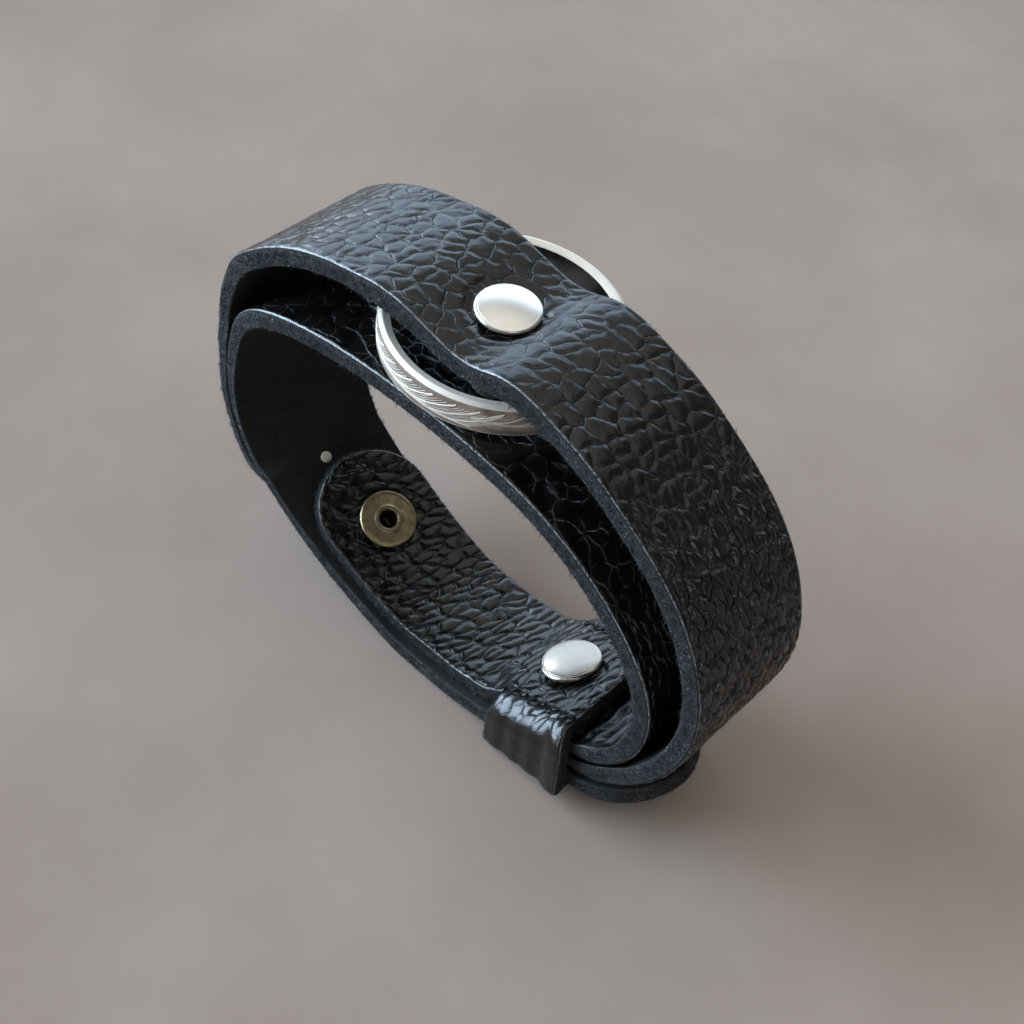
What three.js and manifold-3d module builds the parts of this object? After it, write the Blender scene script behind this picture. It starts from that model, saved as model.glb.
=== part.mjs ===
// Leather wrap bracelet: two leather bands joined round a wrist-sized oval. The inner band goes round the
// wrist and its rounded tail passes through the closure; the outer band runs over it, from the closure to
// its riveted end. A loose metal ring is caught between them by a post. A snap tab lies on the inside of
// the bottom run, and the tab's wings wrap round every layer of the closure as a keeper.
//
// Frame: millimetres, +Z up. X and Z lie in the bracelet's side view, with the closure towards +X, and Y
// runs across the bands. The origin is the middle of the bottom of the whole bracelet's box.

import * as THREE from 'three';
import { mergeVertices } from 'three/addons/utils/BufferGeometryUtils.js';
import Module from 'manifold-3d';

const wasm = await Module();
wasm.setup();

// ---- Driving dimensions ----

const STRAP_WIDTH = 16;
const LEATHER = 2.3;             // full thickness of the bands
const EDGE_BEVEL = 0.3;          // worn corner along the leather's cut edges
const GAP = 0.3;                 // clearance kept between neighbouring pieces
const TIP_RADIUS = 8;            // rounded ends of the bands
const TAB_WIDTH = 14.4;
const TAB_LEATHER = 1.95;
const TAB_TIP_RADIUS = 7.2;

// Where the side view's own zero lies, in the frame of the finished part.
const SIDE_VIEW_ORIGIN = new THREE.Vector3(0.801, -3.374, -0.320);

// The bands' hidden ends are pared thin where they lie stacked in the closure.
const PARED_END = [
  { along: 0, thickness: 1.0 },
  { along: 2.5, thickness: 1.15 },
  { along: 7.5, thickness: 1.4 },
  { along: 12, thickness: LEATHER },
];

// A band is a chain of bends in the side view. length: along the band; turn: degrees, anticlockwise;
// roll: how far the band's width tips out of level at the bend's end; shift: its sideways drift there.
// Ten of the inner band's rows and thirteen of the outer band's hold lengths and turns that a fitting
// program worked out and rounded to halves. The other rows, and every roll and shift, were set by hand.
const INNER_START = { x: 12.5, z: 6.05, heading: 17 };
const INNER_BENDS = [
  { length: 10.5, turn: 9.5, roll: 0, shift: 0 },     // out of the closure
  { length: 5.7, turn: 28.5, roll: 0, shift: 0 },     // lower right bend
  { length: 8, turn: 32, roll: 0, shift: 0 },
  { length: 7.5, turn: 34.5, roll: 0, shift: 0 },
  { length: 10.5, turn: 23.5, roll: 0, shift: 0 },
  { length: 13, turn: 25.5, roll: 0, shift: 0 },
  { length: 23, turn: 16, roll: 0, shift: 0 },        // top, under the ring
  { length: 7, turn: 8.5, roll: 0, shift: 0 },
  { length: 12, turn: 58, roll: 13, shift: 0 },       // left shoulder
  { length: 12.5, turn: 29.5, roll: 21, shift: 0 },
  { length: 5, turn: 21, roll: 17, shift: 0 },
  { length: 3, turn: 14.5, roll: 8, shift: 0 },
  { length: 22, turn: 25.5, roll: 0, shift: 0 },      // bottom run
  { length: 4.5, turn: 16.5, roll: 0, shift: 0 },
  { length: 5, turn: 0, roll: 0, shift: 0 },          // belly, flattened where the bracelet rests
  { length: 3, turn: 10.5, roll: 0, shift: 0 },
  { length: 12, turn: -5, roll: 0, shift: 0 },        // through the closure
  { length: 8, turn: 9, roll: 0, shift: 0 },
  { length: 6.5, turn: 4, roll: 0, shift: 0 },        // free tail
];

const OUTER_START = { x: 12.8, z: 4.9, heading: 13 };
const OUTER_BENDS = [
  { length: 10, turn: 2.5, roll: 0, shift: 0 },       // out of the closure
  { length: 3, turn: 23, roll: 0, shift: 0 },         // lower right bend
  { length: 18, turn: 42.5, roll: 0, shift: 0 },
  { length: 7.5, turn: 21.5, roll: 0, shift: 0 },
  { length: 15.5, turn: 39, roll: 0, shift: 0 },
  { length: 7.5, turn: 6, roll: 0, shift: 0 },
  { length: 10.5, turn: 25.5, roll: 0, shift: 0 },
  { length: 3.5, turn: 21.5, roll: 0, shift: 0 },
  { length: 4, turn: -12, roll: 0, shift: 0 },        // dip under the post's cap
  { length: 3, turn: -17.5, roll: 0, shift: 0 },
  { length: 27.5, turn: 53, roll: 0, shift: 0.2 },    // top left
  { length: 8, turn: 29.5, roll: 5, shift: 0.6 },
  { length: 8.5, turn: 16.5, roll: 10, shift: 1.0 },
  { length: 5.5, turn: 7.5, roll: 16, shift: 1.0 },
  { length: 5.5, turn: 6, roll: 20, shift: 0.7 },
  { length: 7.5, turn: 25.5, roll: 18, shift: 0.5 },
  { length: 3.7, turn: 14.5, roll: 9, shift: 0.3 },   // riveted end
  { length: 4.3, turn: 5, roll: 7, shift: 0.2 },
];

// The tab rides on the inner band's bottom run. along: distance on the inner band; lift: distance from the
// band's middle plane to the tab's; roll: tip of the tab's width.
const TAB_RIDE = [
  { along: 120, lift: 3.2, roll: 10 },
  { along: 129, lift: 3.1, roll: 7.5 },
  { along: 138, lift: 2.95, roll: 4 },
  { along: 147, lift: 2.8, roll: 0 },
  { along: 153, lift: 2.8, roll: 0 },
  { along: 156.5, lift: 3.15, roll: 0 },
  { along: 160, lift: 5.2, roll: 0 },
  { along: 162.8, lift: 5.9, roll: 0 },
  { along: 168.4, lift: 7.5, roll: 0 },
];

// Keeper: half width outside, walls, and the stretch of the inner band that it goes round.
const KEEPER = {
  from: 158.2,
  to: 167.6,
  halfWidth: 9.7,
  side: 1.4,
  bottom: 1.0,
  topRadius: 3.4,
  bottomRadius: 1.4,
  innerRadius: 0.6,
};

// The loose ring leans a little, as it lies on the inner band. x, y and seat are the middle of its underside.
const RING = { x: -3.2, y: 3.85, seat: 43.5, lean: 4, height: 3.9, outer: 12.6, wall: 1.2 };
const RING_BEVEL = { drop: 0.3, width: 0.45 };

const TOP_POST = { alongOuter: 81.4, alongInner: 63.6, cap: 3.35, shank: 1.3, barrel: 2.8 };
const CLOSURE_RIVET = { along: 162.8, cap: 3.5, shank: 1.0, depth: 4.1 };
// distance: from the inner band's middle plane to the outer band's, along the rivet.
const END_RIVET = { along: 118.5, across: -0.5, distance: 2.65, cap: 3.2, shank: 0.9, tip: 0.85 };
const EYELET = { along: 129.3, flange: 3.5, tube: 1.7, bore: 1.05, reach: 2.6 };
// cap: the snap's plain outer cap; rise: how far its cup stands over the inner band's middle plane.
const SNAP_SOCKET = { cap: 5, wall: 0.7, rise: 1.6 };
const CAP_HEIGHT = 0.85;         // rise of the domed caps
const CAP_GAP = 0.2;             // clearance under a cap
const CAP_SEAT = 0.25;           // depth that the post's cap is pressed into the leather
const FLANGE = 0.7;

// ---- Path along a band ----

const radians = THREE.MathUtils.degToRad;

// Adds to each bend where it starts: its place, heading, roll and shift, and the distance along the band.
function layPath(start, bends) {
  let { x, z } = start;
  let heading = radians(start.heading);
  let along = 0;
  let roll = 0;
  let shift = 0;
  return bends.map((bend) => {
    const begins = { x, z, heading, along, startRoll: roll, startShift: shift };
    const laid = { ...bend, ...begins, turnRadians: radians(bend.turn) };
    const end = pointOnBend(laid, bend.length);
    ({ x, z, heading } = end);
    along += bend.length;
    ({ roll, shift } = bend);
    return laid;
  });
}

// Each bend is a circular arc, or a straight line where it doesn't turn.
function pointOnBend(bend, distance) {
  if (bend.turn === 0) {
    const { heading } = bend;
    return { x: bend.x + distance * Math.cos(heading), z: bend.z + distance * Math.sin(heading), heading };
  }
  const heading = bend.heading + (bend.turnRadians * distance) / bend.length;
  const radius = bend.length / bend.turnRadians;
  return {
    x: bend.x + radius * (Math.sin(heading) - Math.sin(bend.heading)),
    z: bend.z - radius * (Math.cos(heading) - Math.cos(bend.heading)),
    heading,
  };
}

function pathLength(path) {
  const last = path[path.length - 1];
  return last.along + last.length;
}

// The band's frame at a distance along it: its middle, and unit vectors along its travel, across its width
// and towards its inner side.
function frameAt(path, along) {
  const bend = path.findLast((row) => row.along <= along) ?? path[0];
  const distance = along - bend.along;
  const { x, z, heading } = pointOnBend(bend, distance);
  const ease = THREE.MathUtils.smoothstep(distance, 0, bend.length);
  const roll = THREE.MathUtils.lerp(bend.startRoll, bend.roll, ease);
  const shift = THREE.MathUtils.lerp(bend.startShift, bend.shift, ease);
  return tippedFrame(new THREE.Vector3(x, shift, z), heading, roll);
}

function tippedFrame(middle, heading, roll) {
  const travel = new THREE.Vector3(Math.cos(heading), 0, Math.sin(heading));
  const across = new THREE.Vector3(0, 1, 0).applyAxisAngle(travel, radians(roll));
  const inward = new THREE.Vector3().crossVectors(travel, across);
  return { middle, heading, travel, across, inward };
}

// A smooth curve through a table's rows, by the column that names the distance.
function readTable(rows, column, along) {
  const last = rows.length - 1;
  if (along <= rows[0].along) return rows[0][column];
  if (along >= rows[last].along) return rows[last][column];
  const i = rows.findIndex((row) => row.along > along) - 1;
  const slope = (a, b) => (rows[b][column] - rows[a][column]) / (rows[b].along - rows[a].along);
  const slopeAt = (k) => slope(Math.max(k - 1, 0), Math.min(k + 1, last));
  const span = rows[i + 1].along - rows[i].along;
  const t = (along - rows[i].along) / span;
  return (
    (2 * t ** 3 - 3 * t ** 2 + 1) * rows[i][column] +
    (t ** 3 - 2 * t ** 2 + t) * span * slopeAt(i) +
    (3 * t ** 2 - 2 * t ** 3) * rows[i + 1][column] +
    (t ** 3 - t ** 2) * span * slopeAt(i + 1)
  );
}

// Evenly spaced numbers, both ends included.
function spread(from, to, count) {
  return Array.from({ length: count + 1 }, (_, i) => from + ((to - from) * i) / count);
}

// Distances along a path at which a band gets a section: closer together where it bends.
function sectionPlaces(path, from, to) {
  const places = path.flatMap((bend) => {
    const count = Math.ceil(Math.max(bend.length / 3, Math.abs(bend.turn) / 8));
    return spread(bend.along, bend.along + bend.length, count).slice(0, -1);
  });
  const inside = places.filter((along) => along > from + 0.5 && along < to - 0.5);
  return [from, ...inside, to];
}

// ---- Closed meshes ----

// Joins equal rings of points into one closed body. The rings are capped at both ends, or wrap round.
function loft(rings, wrap = false) {
  const count = rings[0].length;
  const points = rings.flat();
  const faces = [];
  const spans = wrap ? rings.length : rings.length - 1;
  for (let i = 0; i < spans; i += 1) {
    const next = (i + 1) % rings.length;
    for (let j = 0; j < count; j += 1) {
      const k = (j + 1) % count;
      faces.push([i * count + j, i * count + k, next * count + k]);
      faces.push([i * count + j, next * count + k, next * count + j]);
    }
  }
  if (!wrap) {
    const last = (rings.length - 1) * count;
    for (let j = 1; j < count - 1; j += 1) {
      faces.push([0, j + 1, j], [last, last + j, last + j + 1]);
    }
  }
  const geometry = new THREE.BufferGeometry();
  geometry.setAttribute('position', new THREE.Float32BufferAttribute(points.flatMap((p) => p.toArray()), 3));
  geometry.setIndex(faces.flat());
  return facingOut(geometry);
}

function signedVolume(geometry) {
  const position = geometry.getAttribute('position');
  const index = geometry.getIndex();
  const [a, b, c] = [new THREE.Vector3(), new THREE.Vector3(), new THREE.Vector3()];
  let volume = 0;
  for (let i = 0; i < index.count; i += 3) {
    a.fromBufferAttribute(position, index.getX(i));
    b.fromBufferAttribute(position, index.getX(i + 1));
    c.fromBufferAttribute(position, index.getX(i + 2));
    volume += a.dot(b.cross(c)) / 6;
  }
  return volume;
}

function facingOut(geometry) {
  if (signedVolume(geometry) < 0) geometry.getIndex().array.reverse();
  return geometry;
}

// Merges the points along a lathe's seam and at its poles, and drops the faces that this leaves empty.
function weld(geometry) {
  geometry.deleteAttribute('normal');
  geometry.deleteAttribute('uv');
  const welded = mergeVertices(geometry, 1e-5);
  const index = Array.from(welded.getIndex().array);
  const kept = [];
  for (let i = 0; i < index.length; i += 3) {
    const [a, b, c] = index.slice(i, i + 3);
    if (a !== b && b !== c && c !== a) kept.push(a, b, c);
  }
  welded.setIndex(kept);
  return facingOut(welded);
}

function toSolid(geometry) {
  return new wasm.Manifold(new wasm.Mesh({
    numProp: 3,
    vertProperties: new Float32Array(geometry.getAttribute('position').array),
    triVerts: new Uint32Array(geometry.getIndex().array),
  }));
}

function toGeometry(solid) {
  const mesh = solid.getMesh();
  const geometry = new THREE.BufferGeometry();
  geometry.setAttribute('position', new THREE.BufferAttribute(mesh.vertProperties, 3));
  geometry.setIndex(new THREE.BufferAttribute(mesh.triVerts, 1));
  return geometry;
}

function cut(geometry, ...tools) {
  return toGeometry(tools.reduce((solid, tool) => solid.subtract(toSolid(tool)), toSolid(geometry)));
}

// ---- Leather ----

// A section of leather: a flat rectangle with bevelled corners, in the frame's width and thickness.
function leatherSection({ middle, across, inward }, halfWidth, thickness) {
  const half = thickness / 2;
  const bevel = Math.min(EDGE_BEVEL, half / 2);
  const corners = [
    [halfWidth - bevel, half], [halfWidth, half - bevel],
    [halfWidth, bevel - half], [halfWidth - bevel, -half],
    [bevel - halfWidth, -half], [-halfWidth, bevel - half],
    [-halfWidth, half - bevel], [bevel - halfWidth, half],
  ];
  return corners.map(([w, t]) => middle.clone().addScaledVector(across, w).addScaledVector(inward, t));
}

// Half the width of a strap whose end is rounded, at a distance from the tip.
function roundedHalfWidth(halfWidth, radius, fromTip) {
  if (fromTip >= radius) return halfWidth;
  const atTip = 1.2;
  return Math.max(atTip, halfWidth - radius + Math.sqrt(radius ** 2 - (radius - fromTip) ** 2));
}

// Distances from a rounded tip at which it gets a section, the tip itself first.
function tipPlaces(radius) {
  return spread(0, Math.PI / 2, 7).map((angle) => radius * (1 - Math.cos(angle)));
}

// A band from its pared end in the closure to its rounded tip.
function bandGeometry(path) {
  const length = pathLength(path);
  const tip = tipPlaces(TIP_RADIUS).map((fromTip) => length - fromTip).reverse();
  const places = [...sectionPlaces(path, 0, tip[0]).slice(0, -1), ...tip];
  return loft(places.map((along) => leatherSection(
    frameAt(path, along),
    roundedHalfWidth(STRAP_WIDTH / 2, TIP_RADIUS, length - along),
    readTable(PARED_END, 'thickness', along),
  )));
}

// The tab's frame over a place on the inner band, its heading taken from the ride's own slope.
function tabFrameAt(path, along) {
  const middleAt = (place) => {
    const bend = path.findLast((row) => row.along <= place);
    const { x, z, heading } = pointOnBend(bend, place - bend.along);
    const lift = readTable(TAB_RIDE, 'lift', place);
    return new THREE.Vector3(x - lift * Math.sin(heading), 0, z + lift * Math.cos(heading));
  };
  const step = 0.05;
  const travel = middleAt(along + step).sub(middleAt(along - step));
  return tippedFrame(middleAt(along), Math.atan2(travel.z, travel.x), readTable(TAB_RIDE, 'roll', along));
}

function tabGeometry(path) {
  const from = TAB_RIDE[0].along;
  const to = (KEEPER.from + KEEPER.to) / 2;
  const body = spread(from + TAB_TIP_RADIUS, to, 18).slice(1);
  const tip = tipPlaces(TAB_TIP_RADIUS).map((fromTip) => from + fromTip);
  return loft([...tip, ...body].map((along) => leatherSection(
    tabFrameAt(path, along),
    roundedHalfWidth(TAB_WIDTH / 2, TAB_TIP_RADIUS, along - from),
    TAB_LEATHER,
  )));
}

// A closed outline with rounded corners in the Y-Z plane, with the same number of points whatever its size.
function roundedOutline(x, halfWidth, bottom, top, bottomRadius, topRadius) {
  const corner = (centreY, centreZ, radius, startDegrees) => spread(startDegrees, startDegrees + 90, 3)
    .map((degrees) => new THREE.Vector3(
      x,
      centreY + radius * Math.cos(radians(degrees)),
      centreZ + radius * Math.sin(radians(degrees)),
    ));
  return [
    ...corner(halfWidth - topRadius, top - topRadius, topRadius, 0),
    ...corner(topRadius - halfWidth, top - topRadius, topRadius, 90),
    ...corner(bottomRadius - halfWidth, bottom + bottomRadius, bottomRadius, 180),
    ...corner(halfWidth - bottomRadius, bottom + bottomRadius, bottomRadius, 270),
  ];
}

// The keeper follows the tail's underside below and the tab's own leather above.
function keeperGeometry(path) {
  const { halfWidth, side, bottom, bottomRadius, topRadius, innerRadius } = KEEPER;
  const shownOverTab = 0.05;
  const wallRings = spread(KEEPER.from, KEEPER.to, 6).map((along) => {
    const tail = frameAt(path, along);
    const tab = tabFrameAt(path, along);
    const x = tail.middle.x;
    const underside = tail.middle.z - LEATHER / 2 - GAP;
    const overTab = tabFrameAt(path, placeOverX(path, x)).middle.z;
    const tabHalf = TAB_LEATHER / 2 / tab.across.y / Math.cos(tab.heading);
    const top = overTab + tabHalf + shownOverTab;
    return {
      outer: roundedOutline(x, halfWidth, underside - bottom, top, bottomRadius, topRadius),
      inner: roundedOutline(x, halfWidth - side, underside, overTab - tabHalf, innerRadius, innerRadius),
    };
  });
  const count = wallRings[0].outer.length;
  // One ring of the loft runs along the outside and back along the inside, so the loft wraps round.
  const loops = spread(0, count - 1, count - 1).map((j) => [
    ...wallRings.map(({ outer }) => outer[j]),
    ...wallRings.map(({ inner }) => inner[j]).reverse(),
  ]);
  return loft(loops, true);
}

// The distance along the inner band at which the tab, lying over it, has this x.
function placeOverX(path, x) {
  let [low, high] = [KEEPER.from - 4, KEEPER.to + 6];
  while (high - low > 0.01) {
    const middle = (low + high) / 2;
    if (tabFrameAt(path, middle).middle.x < x) low = middle;
    else high = middle;
  }
  return low;
}

// ---- Metal ----

// A turned piece from its profile of [radius, height] points. It stands on a place with its axis along a
// direction.
function turned(profile, segments = 24) {
  return weld(new THREE.LatheGeometry(profile.map(([r, h]) => new THREE.Vector2(r, h)), segments));
}

function standOn(mesh, place, direction) {
  mesh.position.copy(place);
  mesh.quaternion.setFromUnitVectors(new THREE.Vector3(0, 1, 0), direction);
  mesh.updateMatrixWorld();
  return mesh;
}

// A plain rod used to cut a hole, from below a place to above it.
function drill(radius, place, direction, reach) {
  const rod = new THREE.Mesh(weld(new THREE.CylinderGeometry(radius, radius, 2 * reach, 20)));
  standOn(rod, place, direction);
  return rod.geometry.applyMatrix4(rod.matrixWorld);
}

// A low dome over a rim, as points from the rim's underside to the axis.
function domeProfile(radius, base, height) {
  const rim = height * 0.45;
  return [
    [radius - 0.25, base], [radius, base + rim / 2], [radius - 0.2, base + rim],
    [radius * 0.6, base + height * 0.85], [radius * 0.3, base + height * 0.97], [0, base + height],
  ];
}

// The ring's profile: a plain band with a bevel round its top, closed on itself.
function ringGeometry() {
  const { outer, wall, height } = RING;
  const rim = 0.25;
  const profile = [
    [outer - wall, rim], [outer - wall + rim, 0], [outer - rim, 0], [outer, rim],
    [outer, height - RING_BEVEL.drop], [outer - RING_BEVEL.width, height],
    [outer - wall, height - rim], [outer - wall, rim],
  ];
  return turned(profile, 72);
}

// The post through both bands: a flange inside, a barrel that holds the bands apart, and the cap on top.
function topPostGeometry(distance) {
  const { cap, shank, barrel } = TOP_POST;
  const overInner = LEATHER / 2 + GAP;
  const underOuter = distance - LEATHER / 2 - GAP;
  const capBase = distance + LEATHER / 2 - CAP_SEAT + CAP_GAP;
  return turned([
    [0, -overInner - FLANGE], [cap - 0.3, -overInner - FLANGE], [cap, -overInner], [shank, -overInner],
    [shank, overInner], [barrel, overInner], [barrel, underOuter], [shank, underOuter],
    [shank, capBase], ...domeProfile(cap, capBase, CAP_HEIGHT),
  ]);
}

function closureRivetGeometry() {
  const { cap, shank, depth } = CLOSURE_RIVET;
  const capBase = TAB_LEATHER / 2 + GAP + 0.1;
  return turned([[0, -depth], [shank, -depth], [shank, capBase], ...domeProfile(cap, capBase, CAP_HEIGHT)]);
}

// Heights run from the inner band's middle plane: a small domed tip inside, a plain cap outside.
function endRivetGeometry() {
  const { cap, shank, tip, distance } = END_RIVET;
  const inside = LEATHER / 2 + 0.1;
  const outside = distance + LEATHER / 2 + CAP_GAP;
  const dome = domeProfile(cap, outside, CAP_HEIGHT);
  return turned([
    [0, -inside - 0.3], [tip * 0.7, -inside - 0.2], [tip, -inside],
    [shank, -inside + 0.1], [shank, outside], ...dome,
  ]);
}

// The brass eyelet: a flange on the tab round a blind tube, which is the snap's stud.
function eyeletGeometry() {
  const { flange, tube, bore, reach } = EYELET;
  const top = TAB_LEATHER / 2 + GAP;
  return turned([
    [0, -reach], [tube, -reach], [tube, top],
    [flange - 0.25, top], [flange, top + 0.25], [flange - 0.5, top + 0.55],
    [bore + 0.6, top + 0.55], [bore, top + 0.25], [bore, -reach + 0.6], [0, -reach + 0.6],
  ]);
}

// The snap's other half: a plain cap outside the inner band, and a cup through it that takes the stud.
function snapSocketGeometry() {
  const { cap, wall, rise } = SNAP_SOCKET;
  const cup = EYELET.tube + GAP;
  const outside = LEATHER / 2 + 0.2;
  return turned([
    [0, -outside - 0.8], [cap * 0.7, -outside - 0.7], [cap, -outside - 0.15], [cap - 0.1, -outside],
    [cup + wall, -outside], [cup + wall, rise], [cup, rise], [cup, 0], [0, 0],
  ]);
}

// ---- The bracelet ----

const blackLeather = new THREE.MeshStandardMaterial({ color: 0x1d1f22, roughness: 0.5 });
const polishedSteel = new THREE.MeshStandardMaterial({ color: 0xc9cdcd, roughness: 0.2, metalness: 1 });
const engravedSteel = new THREE.MeshStandardMaterial({ color: 0x9a9892, roughness: 0.35, metalness: 1 });
const agedBrass = new THREE.MeshStandardMaterial({ color: 0x6d6450, roughness: 0.4, metalness: 1 });

const innerPath = layPath(INNER_START, INNER_BENDS);
const outerPath = layPath(OUTER_START, OUTER_BENDS);
const bracelet = new THREE.Group();
const sideView = new THREE.Group();
sideView.position.copy(SIDE_VIEW_ORIGIN);
bracelet.add(sideView);

function addPiece(name, geometry, material) {
  const mesh = new THREE.Mesh(geometry, material);
  mesh.name = name;
  sideView.add(mesh);
  return mesh;
}

// The post stands on the inner band and points at the outer one.
const postFoot = frameAt(innerPath, TOP_POST.alongInner).middle;
const postHead = frameAt(outerPath, TOP_POST.alongOuter).middle;
const postAxis = postHead.clone().sub(postFoot).normalize();
const postLength = postHead.distanceTo(postFoot);
const capSeat = postHead.clone().addScaledVector(postAxis, LEATHER / 2 - CAP_SEAT + 2);

const closure = tabFrameAt(innerPath, CLOSURE_RIVET.along);
const riveted = frameAt(innerPath, END_RIVET.along);
const endRivetPlace = riveted.middle.clone().addScaledVector(riveted.across, END_RIVET.across);
const outward = riveted.inward.clone().negate();
const snapOnTab = tabFrameAt(innerPath, EYELET.along);
const snapLift = readTable(TAB_RIDE, 'lift', EYELET.along);
const bandUnderSnap = frameAt(innerPath, EYELET.along);
const snapOnBand = snapOnTab.middle.clone().addScaledVector(snapOnTab.inward, -snapLift);

const holes = {
  post: (place) => drill(TOP_POST.shank + GAP, place, postAxis, 3),
  closure: drill(CLOSURE_RIVET.shank + GAP, closure.middle, closure.inward, 6),
  end: drill(END_RIVET.shank + GAP, endRivetPlace, outward, 6),
};

addPiece('outer_strap', cut(
  bandGeometry(outerPath),
  holes.post(postHead),
  drill(TOP_POST.cap + GAP, capSeat, postAxis, 2),
  holes.closure,
  holes.end,
), blackLeather);

addPiece('inner_strap', cut(
  bandGeometry(innerPath),
  holes.post(postFoot),
  drill(CLOSURE_RIVET.shank + GAP, closure.middle, closure.inward, 4),
  holes.end,
  drill(EYELET.tube + SNAP_SOCKET.wall + 2 * GAP, snapOnBand, bandUnderSnap.inward, 2.5),
), blackLeather);

addPiece('snap_tab', toGeometry(
  toSolid(tabGeometry(innerPath))
    .add(toSolid(keeperGeometry(innerPath)))
    .subtract(toSolid(drill(CLOSURE_RIVET.shank + GAP, closure.middle, closure.inward, 3)))
    .subtract(toSolid(drill(EYELET.tube + GAP, snapOnTab.middle, snapOnTab.inward, 2))),
), blackLeather);

const ring = addPiece('ring', ringGeometry(), engravedSteel);
const ringAxis = new THREE.Vector3(Math.sin(radians(RING.lean)), 0, Math.cos(radians(RING.lean)));
standOn(ring, new THREE.Vector3(RING.x, RING.y, RING.seat), ringAxis);

standOn(addPiece('top_rivet', topPostGeometry(postLength), polishedSteel), postFoot, postAxis);
standOn(addPiece('closure_rivet', closureRivetGeometry(), polishedSteel), closure.middle, closure.inward);
standOn(addPiece('end_rivet', endRivetGeometry(), polishedSteel), endRivetPlace, outward);
standOn(addPiece('tab_eyelet', eyeletGeometry(), agedBrass), snapOnTab.middle, snapOnTab.inward);
standOn(addPiece('snap_socket', snapSocketGeometry(), agedBrass), snapOnBand, bandUnderSnap.inward);

export default bracelet;
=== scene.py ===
"""Leather wrap bracelet, seen with its grain, cut edges, engraving and metal finishes.

The leather is cut as flat patterns, punched, laid along the same bends as the plain solids, and given its
rolled grain edge. Geometry Nodes then press the grain into it and raise the fibres of the cut edges, and
they engrave the ring. Lengths are millimetres in the bracelet's side view until a piece is made.
"""

import math

import bmesh
import bpy
import numpy as np
from mathutils import Matrix, Vector


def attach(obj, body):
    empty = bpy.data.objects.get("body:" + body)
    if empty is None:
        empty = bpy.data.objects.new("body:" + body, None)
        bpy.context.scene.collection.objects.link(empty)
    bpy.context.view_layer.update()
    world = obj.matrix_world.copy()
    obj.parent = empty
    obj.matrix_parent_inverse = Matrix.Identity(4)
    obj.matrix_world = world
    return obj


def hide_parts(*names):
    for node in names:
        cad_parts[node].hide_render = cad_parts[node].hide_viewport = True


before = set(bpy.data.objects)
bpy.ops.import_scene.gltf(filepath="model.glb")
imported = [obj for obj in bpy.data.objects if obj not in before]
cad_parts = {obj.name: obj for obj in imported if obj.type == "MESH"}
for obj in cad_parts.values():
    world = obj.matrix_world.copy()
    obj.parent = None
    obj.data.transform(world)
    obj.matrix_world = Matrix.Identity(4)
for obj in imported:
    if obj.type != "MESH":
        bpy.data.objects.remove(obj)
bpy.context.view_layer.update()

SIDE_VIEW_ORIGIN = np.array((0.801, -3.374, -0.320))     # where the side view's own zero lies in the frame
MM = 0.001

# ---- The bracelet's own sizes, as its plain solids have them ----

STRAP_WIDTH = 16.0
LEATHER = 2.3
GAP = 0.3
TIP_RADIUS = 8.0
TAB_WIDTH = 14.4
TAB_LEATHER = 1.95
TAB_TIP_RADIUS = 7.2

# The pared end of a band: distance along it, and thickness.
PARED_END = ((0, 1.0), (2.5, 1.15), (7.5, 1.4), (12, LEATHER))

# A band's start (x, z, heading), and its bends: length, turn, roll and shift at the bend's end. Ten of the
# inner band's rows and thirteen of the outer band's hold lengths and turns that a fitting program worked
# out and rounded to halves. The other rows, and every roll and shift, were set one by one.
INNER_START = (12.5, 6.05, 17)
INNER_BENDS = (
    (10.5, 9.5, 0, 0), (5.7, 28.5, 0, 0), (8, 32, 0, 0), (7.5, 34.5, 0, 0), (10.5, 23.5, 0, 0),
    (13, 25.5, 0, 0), (23, 16, 0, 0), (7, 8.5, 0, 0), (12, 58, 13, 0), (12.5, 29.5, 21, 0),
    (5, 21, 17, 0), (3, 14.5, 8, 0), (22, 25.5, 0, 0), (4.5, 16.5, 0, 0), (5, 0, 0, 0),
    (3, 10.5, 0, 0), (12, -5, 0, 0), (8, 9, 0, 0), (6.5, 4, 0, 0),
)
OUTER_START = (12.8, 4.9, 13)
OUTER_BENDS = (
    (10, 2.5, 0, 0), (3, 23, 0, 0), (18, 42.5, 0, 0), (7.5, 21.5, 0, 0), (15.5, 39, 0, 0),
    (7.5, 6, 0, 0), (10.5, 25.5, 0, 0), (3.5, 21.5, 0, 0), (4, -12, 0, 0), (3, -17.5, 0, 0),
    (27.5, 53, 0, 0.2), (8, 29.5, 5, 0.6), (8.5, 16.5, 10, 1.0), (5.5, 7.5, 16, 1.0),
    (5.5, 6, 20, 0.7), (7.5, 25.5, 18, 0.5), (3.7, 14.5, 9, 0.3), (4.3, 5, 7, 0.2),
)

# How the tab rides over the inner band: distance along the band, lift from it, roll.
TAB_RIDE = (
    (120, 3.2, 10), (129, 3.1, 7.5), (138, 2.95, 4), (147, 2.8, 0), (153, 2.8, 0), (156.5, 3.15, 0),
    (160, 5.2, 0), (162.8, 5.9, 0), (168.4, 7.5, 0),
)
KEEPER_FROM = 158.2
KEEPER_TO = 167.6
KEEPER_HALF_WIDTH = 9.7
KEEPER_TOP_RADIUS = 3.4
KEEPER_BOTTOM_RADIUS = 1.4
KEEPER_SIDE = 1.4
KEEPER_BOTTOM = 1.0
RIB_RISE = 0.14                               # the soft ribs down the keeper's sides
RIB_SPACING = 2.5
KEEPER_SWEEP = 1.1                            # how far its leading end is drawn forward
KEEPER_SWEEP_STRETCH = 5                      # over how long a stretch
KEEPER_FLARE = 0.4                            # how far that end stands out
KEEPER_FLARE_STRETCH = 2.2

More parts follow.
